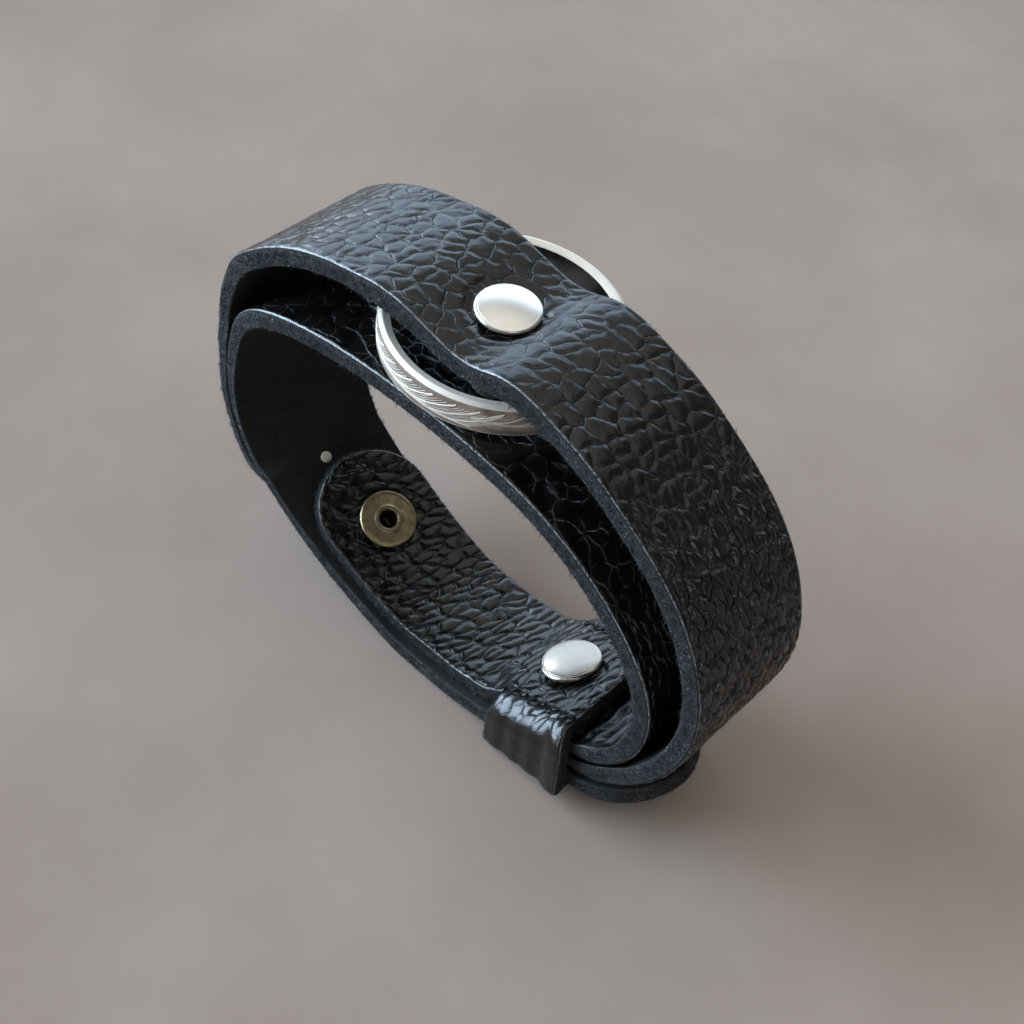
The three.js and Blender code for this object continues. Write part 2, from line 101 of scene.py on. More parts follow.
RING_PLACE = (-3.2, 3.85, 43.5)
RING_LEAN = 4
RING_RADIUS = 12.6
RING_WALL = 1.2
RING_HEIGHT = 3.9
RING_BEVEL_DROP = 0.3
RING_BEVEL_WIDTH = 0.45

POST_ON_OUTER = 81.4
POST_ON_INNER = 63.6
POST_SHANK = 1.3
POST_BARREL = 2.8
CAP_RADIUS = 3.5
TOP_CAP_RADIUS = 3.35
END_CAP_RADIUS = 3.2
CAP_HEIGHT = 0.85
CAP_SEAT = 0.25
CAP_GAP = 0.2
FLANGE = 0.7
CLOSURE_ALONG = 162.8
CLOSURE_SHANK = 1.0
CLOSURE_DEPTH = 4.1
END_RIVET_ALONG = 118.5
END_RIVET_ACROSS = -0.5
END_RIVET_DISTANCE = 2.65
END_RIVET_SHANK = 0.9
EYELET_ALONG = 129.3
EYELET_TUBE = 1.7
EYELET_BORE = 1.05
EYELET_REACH = 2.6
EYELET_FLANGE = 3.5
SNAP_CAP = 5.0
SNAP_WALL = 0.7
SNAP_RISE = 1.6

WRINKLE_SCALE = (0.85, 1.9, 1.0)              # the wrinkled grain is coarser along a band, and finer across
INNER_RELIEF = 0.38                           # the inner band's grain is pressed less deep
GRAIN_ROLL = 0.42                             # radius of the worn grain edge
EDGE_STEPS = 7                                # levels of points down a cut edge
WEAVE_STEP = 0.28      # spacing of the points of a leather pattern


# ---- The paths of the bands ----

class Band:
    """A band's path: a chain of bends in the side view, and the frame of any place along it."""

    def __init__(self, start, bends):
        x, z, heading = start[0], start[1], math.radians(start[2])
        along = roll = shift = 0.0
        rows = []
        for length, turn, next_roll, next_shift in bends:
            turn = math.radians(turn)
            rows.append((x, z, heading, along, length, turn, roll, next_roll, shift, next_shift))
            x, z, heading = (float(v) for v in self.bend_point(x, z, heading, length, turn, length))
            along += length
            roll, shift = next_roll, next_shift
        self.rows = np.array(rows).T
        self.length = along

    @staticmethod
    def bend_point(x, z, heading, length, turn, distance):
        bent = np.where(np.abs(turn) < 1e-9, 1e-9, turn)
        now = heading + bent * distance / length
        radius = length / bent
        return (
            x + radius * (np.sin(now) - np.sin(heading)),
            z - radius * (np.cos(now) - np.cos(heading)),
            now,
        )

    def row_at(self, along):
        starts = self.rows[3]
        which = np.clip(np.searchsorted(starts, along, "right") - 1, 0, len(starts) - 1)
        return self.rows[:, which]

    def point(self, along):
        x, z, heading, start, length, turn = self.row_at(along)[:6]
        return self.bend_point(x, z, heading, length, turn, along - start)

    def frame(self, along):
        along = np.atleast_1d(np.asarray(along, float))
        start, length, roll, next_roll, shift, next_shift = self.row_at(along)[[3, 4, 6, 7, 8, 9]]
        x, z, heading = self.point(along)
        ease = smooth((along - start) / length)
        middle = np.stack((x, shift + (next_shift - shift) * ease, z), -1)
        return tipped_frame(middle, heading, roll + (next_roll - roll) * ease)


def smooth(value):
    value = np.clip(value, 0, 1)
    return value * value * (3 - 2 * value)


def tipped_frame(middle, heading, roll):
    """The middle, and unit vectors along the travel, across the width and towards the inner side."""
    zero = np.zeros_like(heading)
    travel = np.stack((np.cos(heading), zero, np.sin(heading)), -1)
    up = np.stack((-np.sin(heading), zero, np.cos(heading)), -1)
    roll = np.radians(roll)[..., None]
    across = np.cos(roll) * np.array((0.0, 1.0, 0.0)) + np.sin(roll) * up
    return middle, travel, across, np.cross(travel, across)


def read_table(rows, column, along):
    """A smooth curve through a table's rows, by the distance in its first column."""
    places = np.array([row[0] for row in rows], float)
    values = np.array([row[column] for row in rows], float)
    ends = np.arange(len(places))
    before, after = np.maximum(ends - 1, 0), np.minimum(ends + 1, len(places) - 1)
    slopes = (values[after] - values[before]) / (places[after] - places[before])
    i = np.clip(np.searchsorted(places, along, "right") - 1, 0, len(places) - 2)
    span = places[i + 1] - places[i]
    t = np.clip((along - places[i]) / span, 0, 1)
    return (
        (2 * t**3 - 3 * t**2 + 1) * values[i]
        + (t**3 - 2 * t**2 + t) * span * slopes[i]
        + (3 * t**2 - 2 * t**3) * values[i + 1]
        + (t**3 - t**2) * span * slopes[i + 1]
    )


inner_band = Band(INNER_START, INNER_BENDS)
outer_band = Band(OUTER_START, OUTER_BENDS)


def tab_middle(along):
    x, z, heading = inner_band.point(along)
    lift = read_table(TAB_RIDE, 1, along)
    return np.stack((x - lift * np.sin(heading), np.zeros_like(x), z + lift * np.cos(heading)), -1)


def tab_frame(along):
    along = np.atleast_1d(np.asarray(along, float))
    travel = tab_middle(along + 0.05) - tab_middle(along - 0.05)
    heading = np.arctan2(travel[:, 2], travel[:, 0])
    return tipped_frame(tab_middle(along), heading, read_table(TAB_RIDE, 2, along))


# ---- Leather patterns ----

def grain_half_width(half_width, radius, from_tip):
    """Half the width of the grain face, inside its rolled edge, near a rounded tip."""
    inside = np.clip(radius - from_tip, 0, radius)
    outline = np.maximum(0.5, half_width - radius + np.sqrt(radius**2 - inside**2))
    return np.maximum(outline - GRAIN_ROLL, 0.12)


def tip_places(radius):
    turns = np.linspace(0, math.pi / 2, max(8, int(radius * 1.5 / WEAVE_STEP)))
    return radius * (1 - np.cos(turns))


def even_places(low, high):
    return np.linspace(low, high, max(2, round((high - low) / WEAVE_STEP) + 1))


class Pattern:
    """A flat piece of leather: points with a place along and across it, joined in four-sided cells."""

    def __init__(self, along, across, kept=None):
        rows, columns = along.shape
        number = np.arange(rows * columns).reshape(rows, columns)
        cells = np.stack((number[:-1, :-1], number[1:, :-1], number[1:, 1:], number[:-1, 1:]), -1)
        self.along = along.ravel()
        self.across = across.ravel()
        self.cells = cells.reshape(-1, 4) if kept is None else cells[kept]
        self.roll = np.full(self.along.shape, GRAIN_ROLL)
        self.relief = np.ones(self.along.shape)          # how strongly the grain shows
        self.edge_scuff_and_sheen = 1.0                                  # how scuffed the grain edge is, and how much painted highlight lies along it

    def punch(self, along, across, radius):
        """Cuts a round hole: cells that reach into it go, and what is left closes up to its rim."""
        da, dw = self.along - along, self.across - across
        distance = np.hypot(da, dw)
        inside = distance < radius
        cut = inside[self.cells].any(1)
        rim = np.unique(self.cells[cut])
        rim = rim[~inside[rim]]
        self.cells = self.cells[~cut]
        self.along[rim] = along + da[rim] / distance[rim] * radius
        self.across[rim] = across + dw[rim] / distance[rim] * radius
        self.roll[rim] = 0.05


def band_pattern(length):
    tip = length - tip_places(TIP_RADIUS)[::-1]
    along = np.concatenate((even_places(0, tip[0])[:-1], tip))
    half = grain_half_width(STRAP_WIDTH / 2, TIP_RADIUS, length - along)
    share = np.linspace(-1, 1, len(even_places(-STRAP_WIDTH / 2, STRAP_WIDTH / 2)))
    return Pattern(np.repeat(along[:, None], len(share), 1), half[:, None] * share)


def dish(place_along, place_across, along, across, radius, depth):
    """How far the grain is pressed down round a rivet's cap."""
    distance = np.hypot(along - place_along, across - place_across)
    return depth * (1 - smooth((distance - radius) / 1.3))


def bead_edges(pattern, top, bottom):
    """Closes a pattern's grain and flesh faces with a rolled grain edge and a square cut edge."""
    count = len(top)
    edges = np.concatenate([pattern.cells[:, [i, (i + 1) % 4]] for i in range(4)])
    both = np.sort(edges, 1)
    keys = both[:, 0] * count + both[:, 1]
    _, first, seen = np.unique(keys, return_index=True, return_counts=True)
    open_edges = edges[first[seen == 1]]

    # Outwards, in the leather's own plane, at each point of its outline.
    run = top[open_edges[:, 1]] - top[open_edges[:, 0]]
    depth = bottom - top
    outward = np.cross(run, depth[open_edges[:, 0]])
    middle = top[open_edges].mean(1)
    owners = first[seen == 1] % len(pattern.cells)
    centre = top[pattern.cells[owners]].mean(1)
    wrong = ((middle - centre) * outward).sum(1) < 0
    outward[wrong] *= -1
    outward /= np.linalg.norm(outward, axis=1)[:, None] + 1e-12
    lean = np.zeros_like(top)
    np.add.at(lean, open_edges[:, 0], outward)
    np.add.at(lean, open_edges[:, 1], outward)
    rim = np.unique(open_edges)
    lean = lean[rim] / (np.linalg.norm(lean[rim], axis=1)[:, None] + 1e-12)

    thick = np.linalg.norm(depth[rim], axis=1)
    inward = depth[rim] / thick[:, None]
    roll = np.minimum(pattern.roll[rim], thick * 0.4)
    under = roll * 0.45

    # Levels of the outline: three round the grain edge, then the cut edge, and two round its foot.
    levels = []
    for angle in np.radians((30, 60, 90)):
        levels.append((roll * np.sin(angle), roll * (1 - np.cos(angle))))
    for share in np.arange(1, EDGE_STEPS + 1) / EDGE_STEPS:
        levels.append((roll, roll + (thick - roll - under) * share))
    for angle in np.radians((45, 90)):
        levels.append((roll - under * (1 - np.cos(angle)), thick - under * (1 - np.sin(angle))))
    points = [top, bottom]
    places = [pattern.along, pattern.along]
    widths = [pattern.across, pattern.across]
    ladder = [np.full(count, -1)]
    ladder[0][rim] = rim
    total = 2 * count
    for out, down in levels:
        points.append(top[rim] + lean * out[:, None] + inward * down[:, None])
        places.append(pattern.along[rim])
        widths.append(pattern.across[rim] + np.sign(pattern.across[rim]) * (out + down))
        rung = np.full(count, -1)
        rung[rim] = total + np.arange(len(rim))
        ladder.append(rung)
        total += len(rim)
    last = np.full(count, -1)
    last[rim] = rim + count
    ladder.append(last)

    strips = []
    for upper, lower in zip(ladder[:-1], ladder[1:]):
        a, b = open_edges[:, 0], open_edges[:, 1]
        strips.append(np.stack((upper[b], upper[a], lower[a], lower[b]), -1))
    cells = np.concatenate((pattern.cells, pattern.cells[:, ::-1] + count, *strips))
    rung = len(rim)
    fields = {name: np.zeros(total) for name in ("grain_side", "relief", "cut_edge", "worn_edge")}
    fields["grain_side"][:count] = 1
    fields["grain_side"][2 * count:2 * count + 2 * rung] = 1
    fields["relief"][:count] = pattern.relief
    fields["relief"][2 * count:2 * count + rung] = 0.6 * pattern.relief[rim]
    fields["cut_edge"][2 * count + 3 * rung:2 * count + (3 + EDGE_STEPS) * rung] = 1
    fields["worn_edge"][2 * count + rung:2 * count + 3 * rung] = pattern.edge_scuff_and_sheen
    layout = np.stack((np.concatenate(places), np.concatenate(widths), np.zeros(total)), -1)
    return np.concatenate(points), cells, fields, layout


def leather_mesh(name, pattern, top, bottom, wrinkled):
    points, cells, fields, layout = bead_edges(pattern, top, bottom)
    fields["wrinkled"] = wrinkled(layout[:, 0])
    used = np.unique(cells)
    renumber = np.full(len(points), -1)
    renumber[used] = np.arange(len(used))
    cells = renumber[cells]
    points = (points[used] + SIDE_VIEW_ORIGIN) * MM
    corner = points[cells]
    across = np.cross(corner[:, 2] - corner[:, 0], corner[:, 3] - corner[:, 1])
    if (corner.mean(1) * across).sum() < 0:
        cells = cells[:, ::-1]
    mesh = bpy.data.meshes.new(name)
    mesh.from_pydata(points.tolist(), [], cells.tolist())
    for field, values in fields.items():
        made = mesh.attributes.new(field, "FLOAT", "POINT")
        made.data.foreach_set("value", values[used].astype(np.float32))
    place = mesh.attributes.new("leather_place", "FLOAT_VECTOR", "POINT")
    place.data.foreach_set("vector", layout[used].astype(np.float32).ravel())
    mesh.shade_smooth()
    piece = bpy.data.objects.new(name, mesh)
    bpy.context.scene.collection.objects.link(piece)
    return piece


# ---- Node patterns ----

class Nodes:
    """Puts nodes in a tree, so that a pattern reads as a few short expressions."""

    def __init__(self, tree):
        self.tree = tree

    def put(self, kind, sockets=None, **settings):
        node = self.tree.nodes.new(kind)
        for key, value in settings.items():
            setattr(node, key, value)
        for key, value in (sockets or {}).items():
            self.feed(node.inputs[key], value)
        return node

    def feed(self, socket, value):
        if isinstance(value, bpy.types.NodeSocket):
            self.tree.links.new(value, socket)
        else:
            socket.default_value = value

    def sum(self, operation, *values, clamp=False):
        node = self.put("ShaderNodeMath", operation=operation, use_clamp=clamp)
        for socket, value in zip(node.inputs, values):
            self.feed(socket, value)
        return node.outputs[0]

    def vector(self, operation, *values, scale=None):
        node = self.put("ShaderNodeVectorMath", operation=operation)
        for socket, value in zip(node.inputs, values):
            self.feed(socket, value)
        if scale is not None:
            self.feed(node.inputs["Scale"], scale)
        return node.outputs[0]

    def ease(self, value, low, high, to_low=0.0, to_high=1.0):
        node = self.put("ShaderNodeMapRange", interpolation_type="SMOOTHSTEP")
        for key, amount in zip(("Value", "From Min", "From Max", "To Min", "To Max"),
                               (value, low, high, to_low, to_high)):
            self.feed(node.inputs[key], amount)
        return node.outputs[0]

    def noise(self, vector, scale, detail=2.0, roughness=0.5, colour=False):
        node = self.put("ShaderNodeTexNoise", {"Vector": vector, "Scale": scale, "Detail": detail,
                                               "Roughness": roughness})
        return node.outputs["Color" if colour else "Fac"]

    def cracks(self, vector, scale, randomness=1.0):
        """Distance to the nearest crack of a pattern of cells."""
        node = self.put("ShaderNodeTexVoronoi", {"Vector": vector, "Scale": scale,
                                                 "Randomness": randomness},
                        feature="DISTANCE_TO_EDGE", voronoi_dimensions="2D")
        return node.outputs["Distance"]

    def cell(self, vector):
        """The middle of the cell at a place, and a number of the cell's own."""
        node = self.put("ShaderNodeTexVoronoi", {"Vector": vector, "Scale": 1.0}, feature="F1",
                        voronoi_dimensions="2D")
        own = self.put("ShaderNodeSeparateXYZ", {"Vector": node.outputs["Color"]}).outputs[0]
        return node.outputs["Position"], own

    def blend(self, share, first, second):
        node = self.put("ShaderNodeMix", data_type="RGBA")
        self.feed(node.inputs[0], share)
        self.feed(node.inputs[6], first)
        self.feed(node.inputs[7], second)
        return node.outputs[2]


def tree_with_inputs(name, inputs):
    """A Geometry Nodes tree with a geometry in and out and the named inputs."""
    tree = bpy.data.node_groups.new(name, "GeometryNodeTree")
    tree.interface.new_socket("Geometry", in_out="INPUT", socket_type="NodeSocketGeometry")
    tree.interface.new_socket("Geometry", in_out="OUTPUT", socket_type="NodeSocketGeometry")
    for label, kind, value in inputs:
        socket = tree.interface.new_socket(label, in_out="INPUT", socket_type="NodeSocket" + kind)
        if value is not None:
            socket.default_value = value
    nodes = Nodes(tree)
    return nodes, nodes.put("NodeGroupInput").outputs, nodes.put("NodeGroupOutput").inputs


def settle(piece, tree, **values):
    """Runs a tree on a piece and keeps the result as its plain mesh."""
    modifier = piece.modifiers.new(tree.name, "NODES")
    modifier.node_group = tree
    for item in tree.interface.items_tree:
        key = item.name.lower().replace(" ", "_")
        if item.in_out == "INPUT" and key in values:
            modifier[item.identifier] = values[key]
    shape = piece.evaluated_get(bpy.context.evaluated_depsgraph_get())
    mesh = bpy.data.meshes.new_from_object(shape)
    piece.modifiers.remove(modifier)
    old = piece.data
    piece.data = mesh
    bpy.data.meshes.remove(old)
    mesh.name = piece.name
    return piece


def leather_field(nodes, name, kind="FLOAT"):
    return nodes.put("GeometryNodeInputNamedAttribute", {"Name": name}, data_type=kind).outputs[0]


def leather_finish_tree():
    """Presses the grain into a leather piece and roughens its cut edges."""
    nodes, given, result = tree_with_inputs("leather_finish", (
        ("Pebble Size", "Float", 2.5), ("Crease Depth", "Float", 0.13), ("Slant", "Float", 0.0),
        ("Stretch", "Float", 1.0), ("Wander", "Float", 2.2), ("Seed", "Int", 1),
        ("Grain Leather", "Material", None), ("Cut Edge", "Material", None),
        ("Flesh Side", "Material", None)))
    place = leather_field(nodes, "leather_place", "FLOAT_VECTOR")
    grain = leather_field(nodes, "grain_side")
    relief = leather_field(nodes, "relief")
    cut_edge = leather_field(nodes, "cut_edge")
    wrinkled = leather_field(nodes, "wrinkled")

    # The leather's own grain coordinates: wandering, slanted and stretched, one unit to a pebble.
    shift = nodes.put("ShaderNodeCombineXYZ", {"X": nodes.sum("MULTIPLY", given["Seed"], 37.0), "Y": 11.0})
    place = nodes.vector("ADD", place, shift.outputs[0])
    drift = nodes.vector("SUBTRACT", nodes.noise(place, 0.4, 2.0, 0.55, colour=True), (0.5, 0.5, 0.5))
    place = nodes.vector("ADD", place, nodes.vector("SCALE", drift, scale=given["Wander"]))
    parts = nodes.put("ShaderNodeSeparateXYZ", {"Vector": place}).outputs
    along = nodes.sum("MULTIPLY", nodes.sum("MULTIPLY_ADD", parts[1], given["Slant"], parts[0]),
                      given["Stretch"])
    place = nodes.put("ShaderNodeCombineXYZ", {"X": along, "Y": parts[1]}).outputs[0]
    place = nodes.vector("SCALE", place, scale=nodes.sum("DIVIDE", 1.0, given["Pebble Size"]))

    def pressed(where):
        """How far the leather lies under the tops of its pebbles, each tipped up at its leading end."""
        edge = nodes.cracks(where, 1.0)
        fade = nodes.ease(nodes.noise(where, 0.8, 2.0), 0.38, 0.6, 0.25, 1.0)
        valley = nodes.sum("MULTIPLY", nodes.ease(edge, 0.0, 0.13, 1.0, 0.0), fade)
        pillow = nodes.ease(edge, 0.0, 0.36, 1.0, 0.0)
        middle, own = nodes.cell(where)
        from_middle = nodes.vector("SUBTRACT", where, middle)
        lean = nodes.put("ShaderNodeSeparateXYZ", {"Vector": from_middle}).outputs[0]
        sunk = nodes.sum("MULTIPLY_ADD", valley, 0.85, nodes.sum("MULTIPLY", pillow, 0.5))
        sunk = nodes.sum("MULTIPLY_ADD", lean, -0.4, sunk)
        return nodes.sum("MULTIPLY_ADD", own, 0.25, sunk)

    wrinkles = pressed(nodes.vector("MULTIPLY", place, WRINKLE_SCALE))
    choice = nodes.put("ShaderNodeMix", {0: wrinkled, 2: pressed(place),
                                         3: nodes.sum("MULTIPLY", 1.3, wrinkles)},
                       data_type="FLOAT")
    sunk = nodes.sum("MULTIPLY", choice.outputs[0], relief)
    depth = nodes.sum("MULTIPLY", sunk, nodes.sum("MULTIPLY", given["Crease Depth"], -MM))
    position = nodes.put("GeometryNodeInputPosition").outputs[0]
    ragged = nodes.sum("SUBTRACT", nodes.noise(position, 2400.0, 4.0, 0.75), 0.52)
    ragged = nodes.sum("MULTIPLY", nodes.sum("MULTIPLY", ragged, cut_edge), 0.65 * MM)
    depth = nodes.sum("ADD", depth, ragged)
    normal = nodes.put("GeometryNodeInputNormal").outputs[0]
    marked = nodes.put("GeometryNodeStoreNamedAttribute",
                       {"Geometry": given["Geometry"], "Name": "grain_place", "Value": place},
                       data_type="FLOAT_VECTOR", domain="POINT")
    body = nodes.put("GeometryNodeSetPosition",
                     {"Geometry": marked.outputs[0], "Offset": nodes.vector("SCALE", normal, scale=depth)})
    body = nodes.put("GeometryNodeRealizeInstances", {"Geometry": body.outputs[0]})
    zones = ((None, "Flesh Side"), (nodes.sum("GREATER_THAN", grain, 0.5), "Grain Leather"),
             (nodes.sum("GREATER_THAN", cut_edge, 0.4), "Cut Edge"))
    for zone, label in zones:
        body = nodes.put("GeometryNodeSetMaterial", {"Geometry": body.outputs[0], "Material": given[label]})
        if zone is not None:
            nodes.feed(body.inputs["Selection"], zone)
    nodes.feed(result["Geometry"], body.outputs[0])
    return nodes.tree


def edge_fibres_tree():
    """Scatters short tapered fibres over the cut edges of a leather piece."""
    nodes, given, result = tree_with_inputs("edge_fibres", (
        ("Density", "Float", 2.1e7), ("Fibre Length", "Float", 0.55 * MM),
        ("Fibre Radius", "Float", 0.045 * MM), ("Seed", "Int", 1), ("Fibre Leather", "Material", None)))
    at_edge = nodes.sum("GREATER_THAN", leather_field(nodes, "cut_edge"), 0.4)
    roots = nodes.put("GeometryNodeDistributePointsOnFaces",
                      {"Mesh": given["Geometry"], "Selection": at_edge, "Density": given["Density"],
                       "Seed": given["Seed"]})
    hair = nodes.put("GeometryNodeMeshCone",
                     {"Vertices": 3, "Radius Top": nodes.sum("MULTIPLY", given["Fibre Radius"], 0.25),
                      "Radius Bottom": given["Fibre Radius"], "Depth": given["Fibre Length"]},
                     fill_type="TRIANGLE_FAN")
    lean = nodes.put("FunctionNodeRandomValue", {0: (-1.25, -1.25, -0.6), 1: (1.25, 1.25, 0.6),
                                                 "Seed": given["Seed"]}, data_type="FLOAT_VECTOR")
    turn = nodes.put("FunctionNodeRotateRotation", {"Rotation": roots.outputs["Rotation"],
                                                    "Rotate By": lean.outputs[0]},
                     rotation_space="LOCAL")
    size = nodes.put("FunctionNodeRandomValue", {2: 0.3, 3: 1.0, "Seed": given["Seed"]},
                     data_type="FLOAT")
    fibres = nodes.put("GeometryNodeInstanceOnPoints",
                       {"Points": roots.outputs["Points"], "Instance": hair.outputs[0],
                        "Rotation": turn.outputs[0], "Scale": size.outputs[1]})
    fibres = nodes.put("GeometryNodeRealizeInstances", {"Geometry": fibres.outputs[0]})
    fibres = nodes.put("GeometryNodeSetMaterial", {"Geometry": fibres.outputs[0],
                                                   "Material": given["Fibre Leather"]})
    nodes.feed(result["Geometry"], fibres.outputs[0])
    return nodes.tree


def ring_engraving_tree():
    """Four leaf sprays in a row, laid flat as fine lines and then wrapped round the ring."""
    nodes, given, result = tree_with_inputs("ring_engraving", (
        ("Radius", "Float", RING_RADIUS), ("Start Angle", "Float", -2.62), ("Stem Top", "Float", 1.9),
        ("Stem Drop", "Float", 1.2), ("Bold Line", "Float", 0.09), ("Fine Line", "Float", 0.038),
        ("Bold Lines", "Material", None), ("Fine Lines", "Material", None)))
    round_it = nodes.sum("MULTIPLY", given["Radius"], 2 * math.pi)

    def strokes(in_a_spray, reach, rise, bend, first_size, last_size):
        """A row of curved strokes leaving the stems, growing or shrinking along each spray."""
        stroke = nodes.put("GeometryNodeCurveQuadraticBezier",
                           {"Resolution": 9, "Start": (0.0, 0.0, 0.0), "Middle": (reach * 0.55, bend, 0.0),
                            "End": (reach, rise, 0.0)})
        step = nodes.sum("DIVIDE", round_it, 4.0 * in_a_spray)
        row = nodes.put("GeometryNodeMeshLine",
                        {"Count": 4 * in_a_spray, "Start Location": (0.0, 0.0, 0.0),
                         "Offset": nodes.put("ShaderNodeCombineXYZ", {"X": step}).outputs[0]})
        index = nodes.put("GeometryNodeInputIndex").outputs[0]
        turn = nodes.sum("DIVIDE", nodes.sum("MODULO", index, float(in_a_spray)), float(in_a_spray))
        fall = nodes.sum("POWER", turn, 0.8)
        height = nodes.sum("SUBTRACT", given["Stem Top"], nodes.sum("MULTIPLY", fall, given["Stem Drop"]))
        row = nodes.put("GeometryNodeSetPosition",
                        {"Geometry": row.outputs[0],
                         "Offset": nodes.put("ShaderNodeCombineXYZ", {"Y": height}).outputs[0]})
        size = nodes.ease(turn, 0.0, 0.8, first_size, last_size)
        placed = nodes.put("GeometryNodeInstanceOnPoints",
                           {"Points": row.outputs[0], "Instance": stroke.outputs[0],
                            "Scale": nodes.put("ShaderNodeCombineXYZ",
                                               {"X": size, "Y": size, "Z": 1.0}).outputs[0]})
        return nodes.put("GeometryNodeRealizeInstances", {"Geometry": placed.outputs[0]}).outputs[0]

    cords = nodes.put("GeometryNodeJoinGeometry")
    for lines, width in ((strokes(9, 5.2, 2.0, 0.55, 0.6, 1.0), "Bold Line"),
                         (strokes(30, 0.75, -0.05, -0.02, 1.0, 1.0), "Bold Line"),
                         (strokes(45, 3.6, 1.6, 0.35, 0.75, 1.15), "Fine Line"),
                         (strokes(54, 2.0, -0.9, -0.25, 1.0, 0.3), "Fine Line")):
        section = nodes.put("GeometryNodeCurvePrimitiveCircle", {"Resolution": 4, "Radius": given[width]})
        cord = nodes.put("GeometryNodeCurveToMesh", {"Curve": lines, "Profile Curve": section.outputs[0]})
        cord = nodes.put("GeometryNodeSetMaterial",
                         {"Geometry": cord.outputs[0], "Material": given[width + "s"]})
        nodes.tree.links.new(cord.outputs[0], cords.inputs[0])
    at = nodes.put("ShaderNodeSeparateXYZ", {"Vector": nodes.put("GeometryNodeInputPosition").outputs[0]})
    angle = nodes.sum("ADD", nodes.sum("DIVIDE", at.outputs[0], given["Radius"]), given["Start Angle"])
    away = nodes.sum("ADD", given["Radius"], nodes.sum("MULTIPLY", at.outputs[2], 0.8))
    wrapped = nodes.put("ShaderNodeCombineXYZ", {
        "X": nodes.sum("MULTIPLY", away, nodes.sum("COSINE", angle)),
        "Y": nodes.sum("MULTIPLY", away, nodes.sum("SINE", angle)), "Z": at.outputs[1]})
    bent = nodes.put("GeometryNodeSetPosition",
                     {"Geometry": cords.outputs[0], "Position": wrapped.outputs[0]})
    done = nodes.put("GeometryNodeRealizeInstances", {"Geometry": bent.outputs[0]})
    nodes.feed(result["Geometry"], done.outputs[0])
    return nodes.tree


# ---- Materials ----

def material(name):
    made = bpy.data.materials.new(name)
    made.use_nodes = True
    nodes = Nodes(made.node_tree)
    return made, nodes, made.node_tree.nodes["Principled BSDF"].inputs


def bump(nodes, height, strength, distance, over=None):
    node = nodes.put("ShaderNodeBump", {"Height": height, "Strength": strength, "Distance": distance})
    if over is not None:
        nodes.feed(node.inputs["Normal"], over)
    return node.outputs[0]


def attribute(nodes, name):
    return nodes.put("ShaderNodeAttribute", attribute_name=name).outputs


def grain_leather():
    made, nodes, shader = material("black_grain_leather")
    place = attribute(nodes, "grain_place")["Vector"]
    relief = nodes.ease(attribute(nodes, "relief")["Fac"], 0.1, 0.6)
    wrinkled = attribute(nodes, "wrinkled")["Fac"]
    worn = attribute(nodes, "worn_edge")["Fac"]
    cloud = nodes.noise(place, 0.8, 3.0)
    fine = nodes.noise(place, 13.0, 4.0, 0.6)
    soft = nodes.noise(place, 3.2, 2.0)

    def creases(where):
        """The thin cracks between pebbles, which fade in places, and how far a place is down a pebble."""
        edge = nodes.cracks(where, 1.0)
        fade = nodes.ease(nodes.noise(where, 0.8, 2.0), 0.38, 0.6, 0.1, 1.0)
        crack = nodes.sum("MULTIPLY", nodes.ease(edge, 0.0, 0.075, 1.0, 0.0), fade)
        return crack, nodes.ease(edge, 0.0, 0.28, 1.0, 0.0)

    large, slope = creases(place)
    small, furrow = creases(nodes.vector("MULTIPLY", place, WRINKLE_SCALE))
    crack = nodes.put("ShaderNodeMix", {0: wrinkled, 2: large, 3: small}, data_type="FLOAT").outputs[0]
    crack = nodes.sum("MULTIPLY", crack, relief)
    furrow = nodes.sum("MULTIPLY", nodes.sum("MULTIPLY", furrow, wrinkled), relief)
    top = nodes.blend(nodes.ease(cloud, 0.35, 0.7), (0.002, 0.002, 0.002, 1), (0.0055, 0.0052, 0.0048, 1))
    # The cracks are painted near black, darker than the grain round them: painted shade in the creases.
    colour = nodes.blend(nodes.sum("MULTIPLY", crack, 0.9), top, (0.001, 0.001, 0.001, 1))
    # The worn grain edge gets a pale bluish line: partly real scuffs, partly a painted highlight along the
    # grain corner.
    scuff_and_sheen = nodes.sum("MULTIPLY", worn, nodes.ease(nodes.noise(place, 6.0, 3.0, 0.7), 0.38, 0.58))
    colour = nodes.blend(nodes.sum("MULTIPLY", scuff_and_sheen, 0.9), colour, (0.34, 0.36, 0.40, 1))
    nodes.feed(shader["Base Color"], colour)
    gloss = nodes.sum("MULTIPLY_ADD", fine, 0.08, nodes.ease(cloud, 0.3, 0.7, 0.11, 0.20))
    nodes.feed(shader["Roughness"], nodes.sum("MULTIPLY_ADD", crack, 0.5, gloss, clamp=True))
    rough_grain = nodes.sum("MULTIPLY_ADD", wrinkled, 0.014, 0.012)
    height = nodes.sum("MULTIPLY_ADD", fine, rough_grain, nodes.sum("MULTIPLY", soft, 0.05))
    height = nodes.sum("MULTIPLY_ADD", crack, -0.085, height)
    height = nodes.sum("MULTIPLY_ADD", nodes.sum("MULTIPLY", slope, relief), -0.025, height)
    height = nodes.sum("MULTIPLY_ADD", furrow, -0.17, height)
    nodes.feed(shader["Normal"], bump(nodes, height, 1.0, MM))
    return made


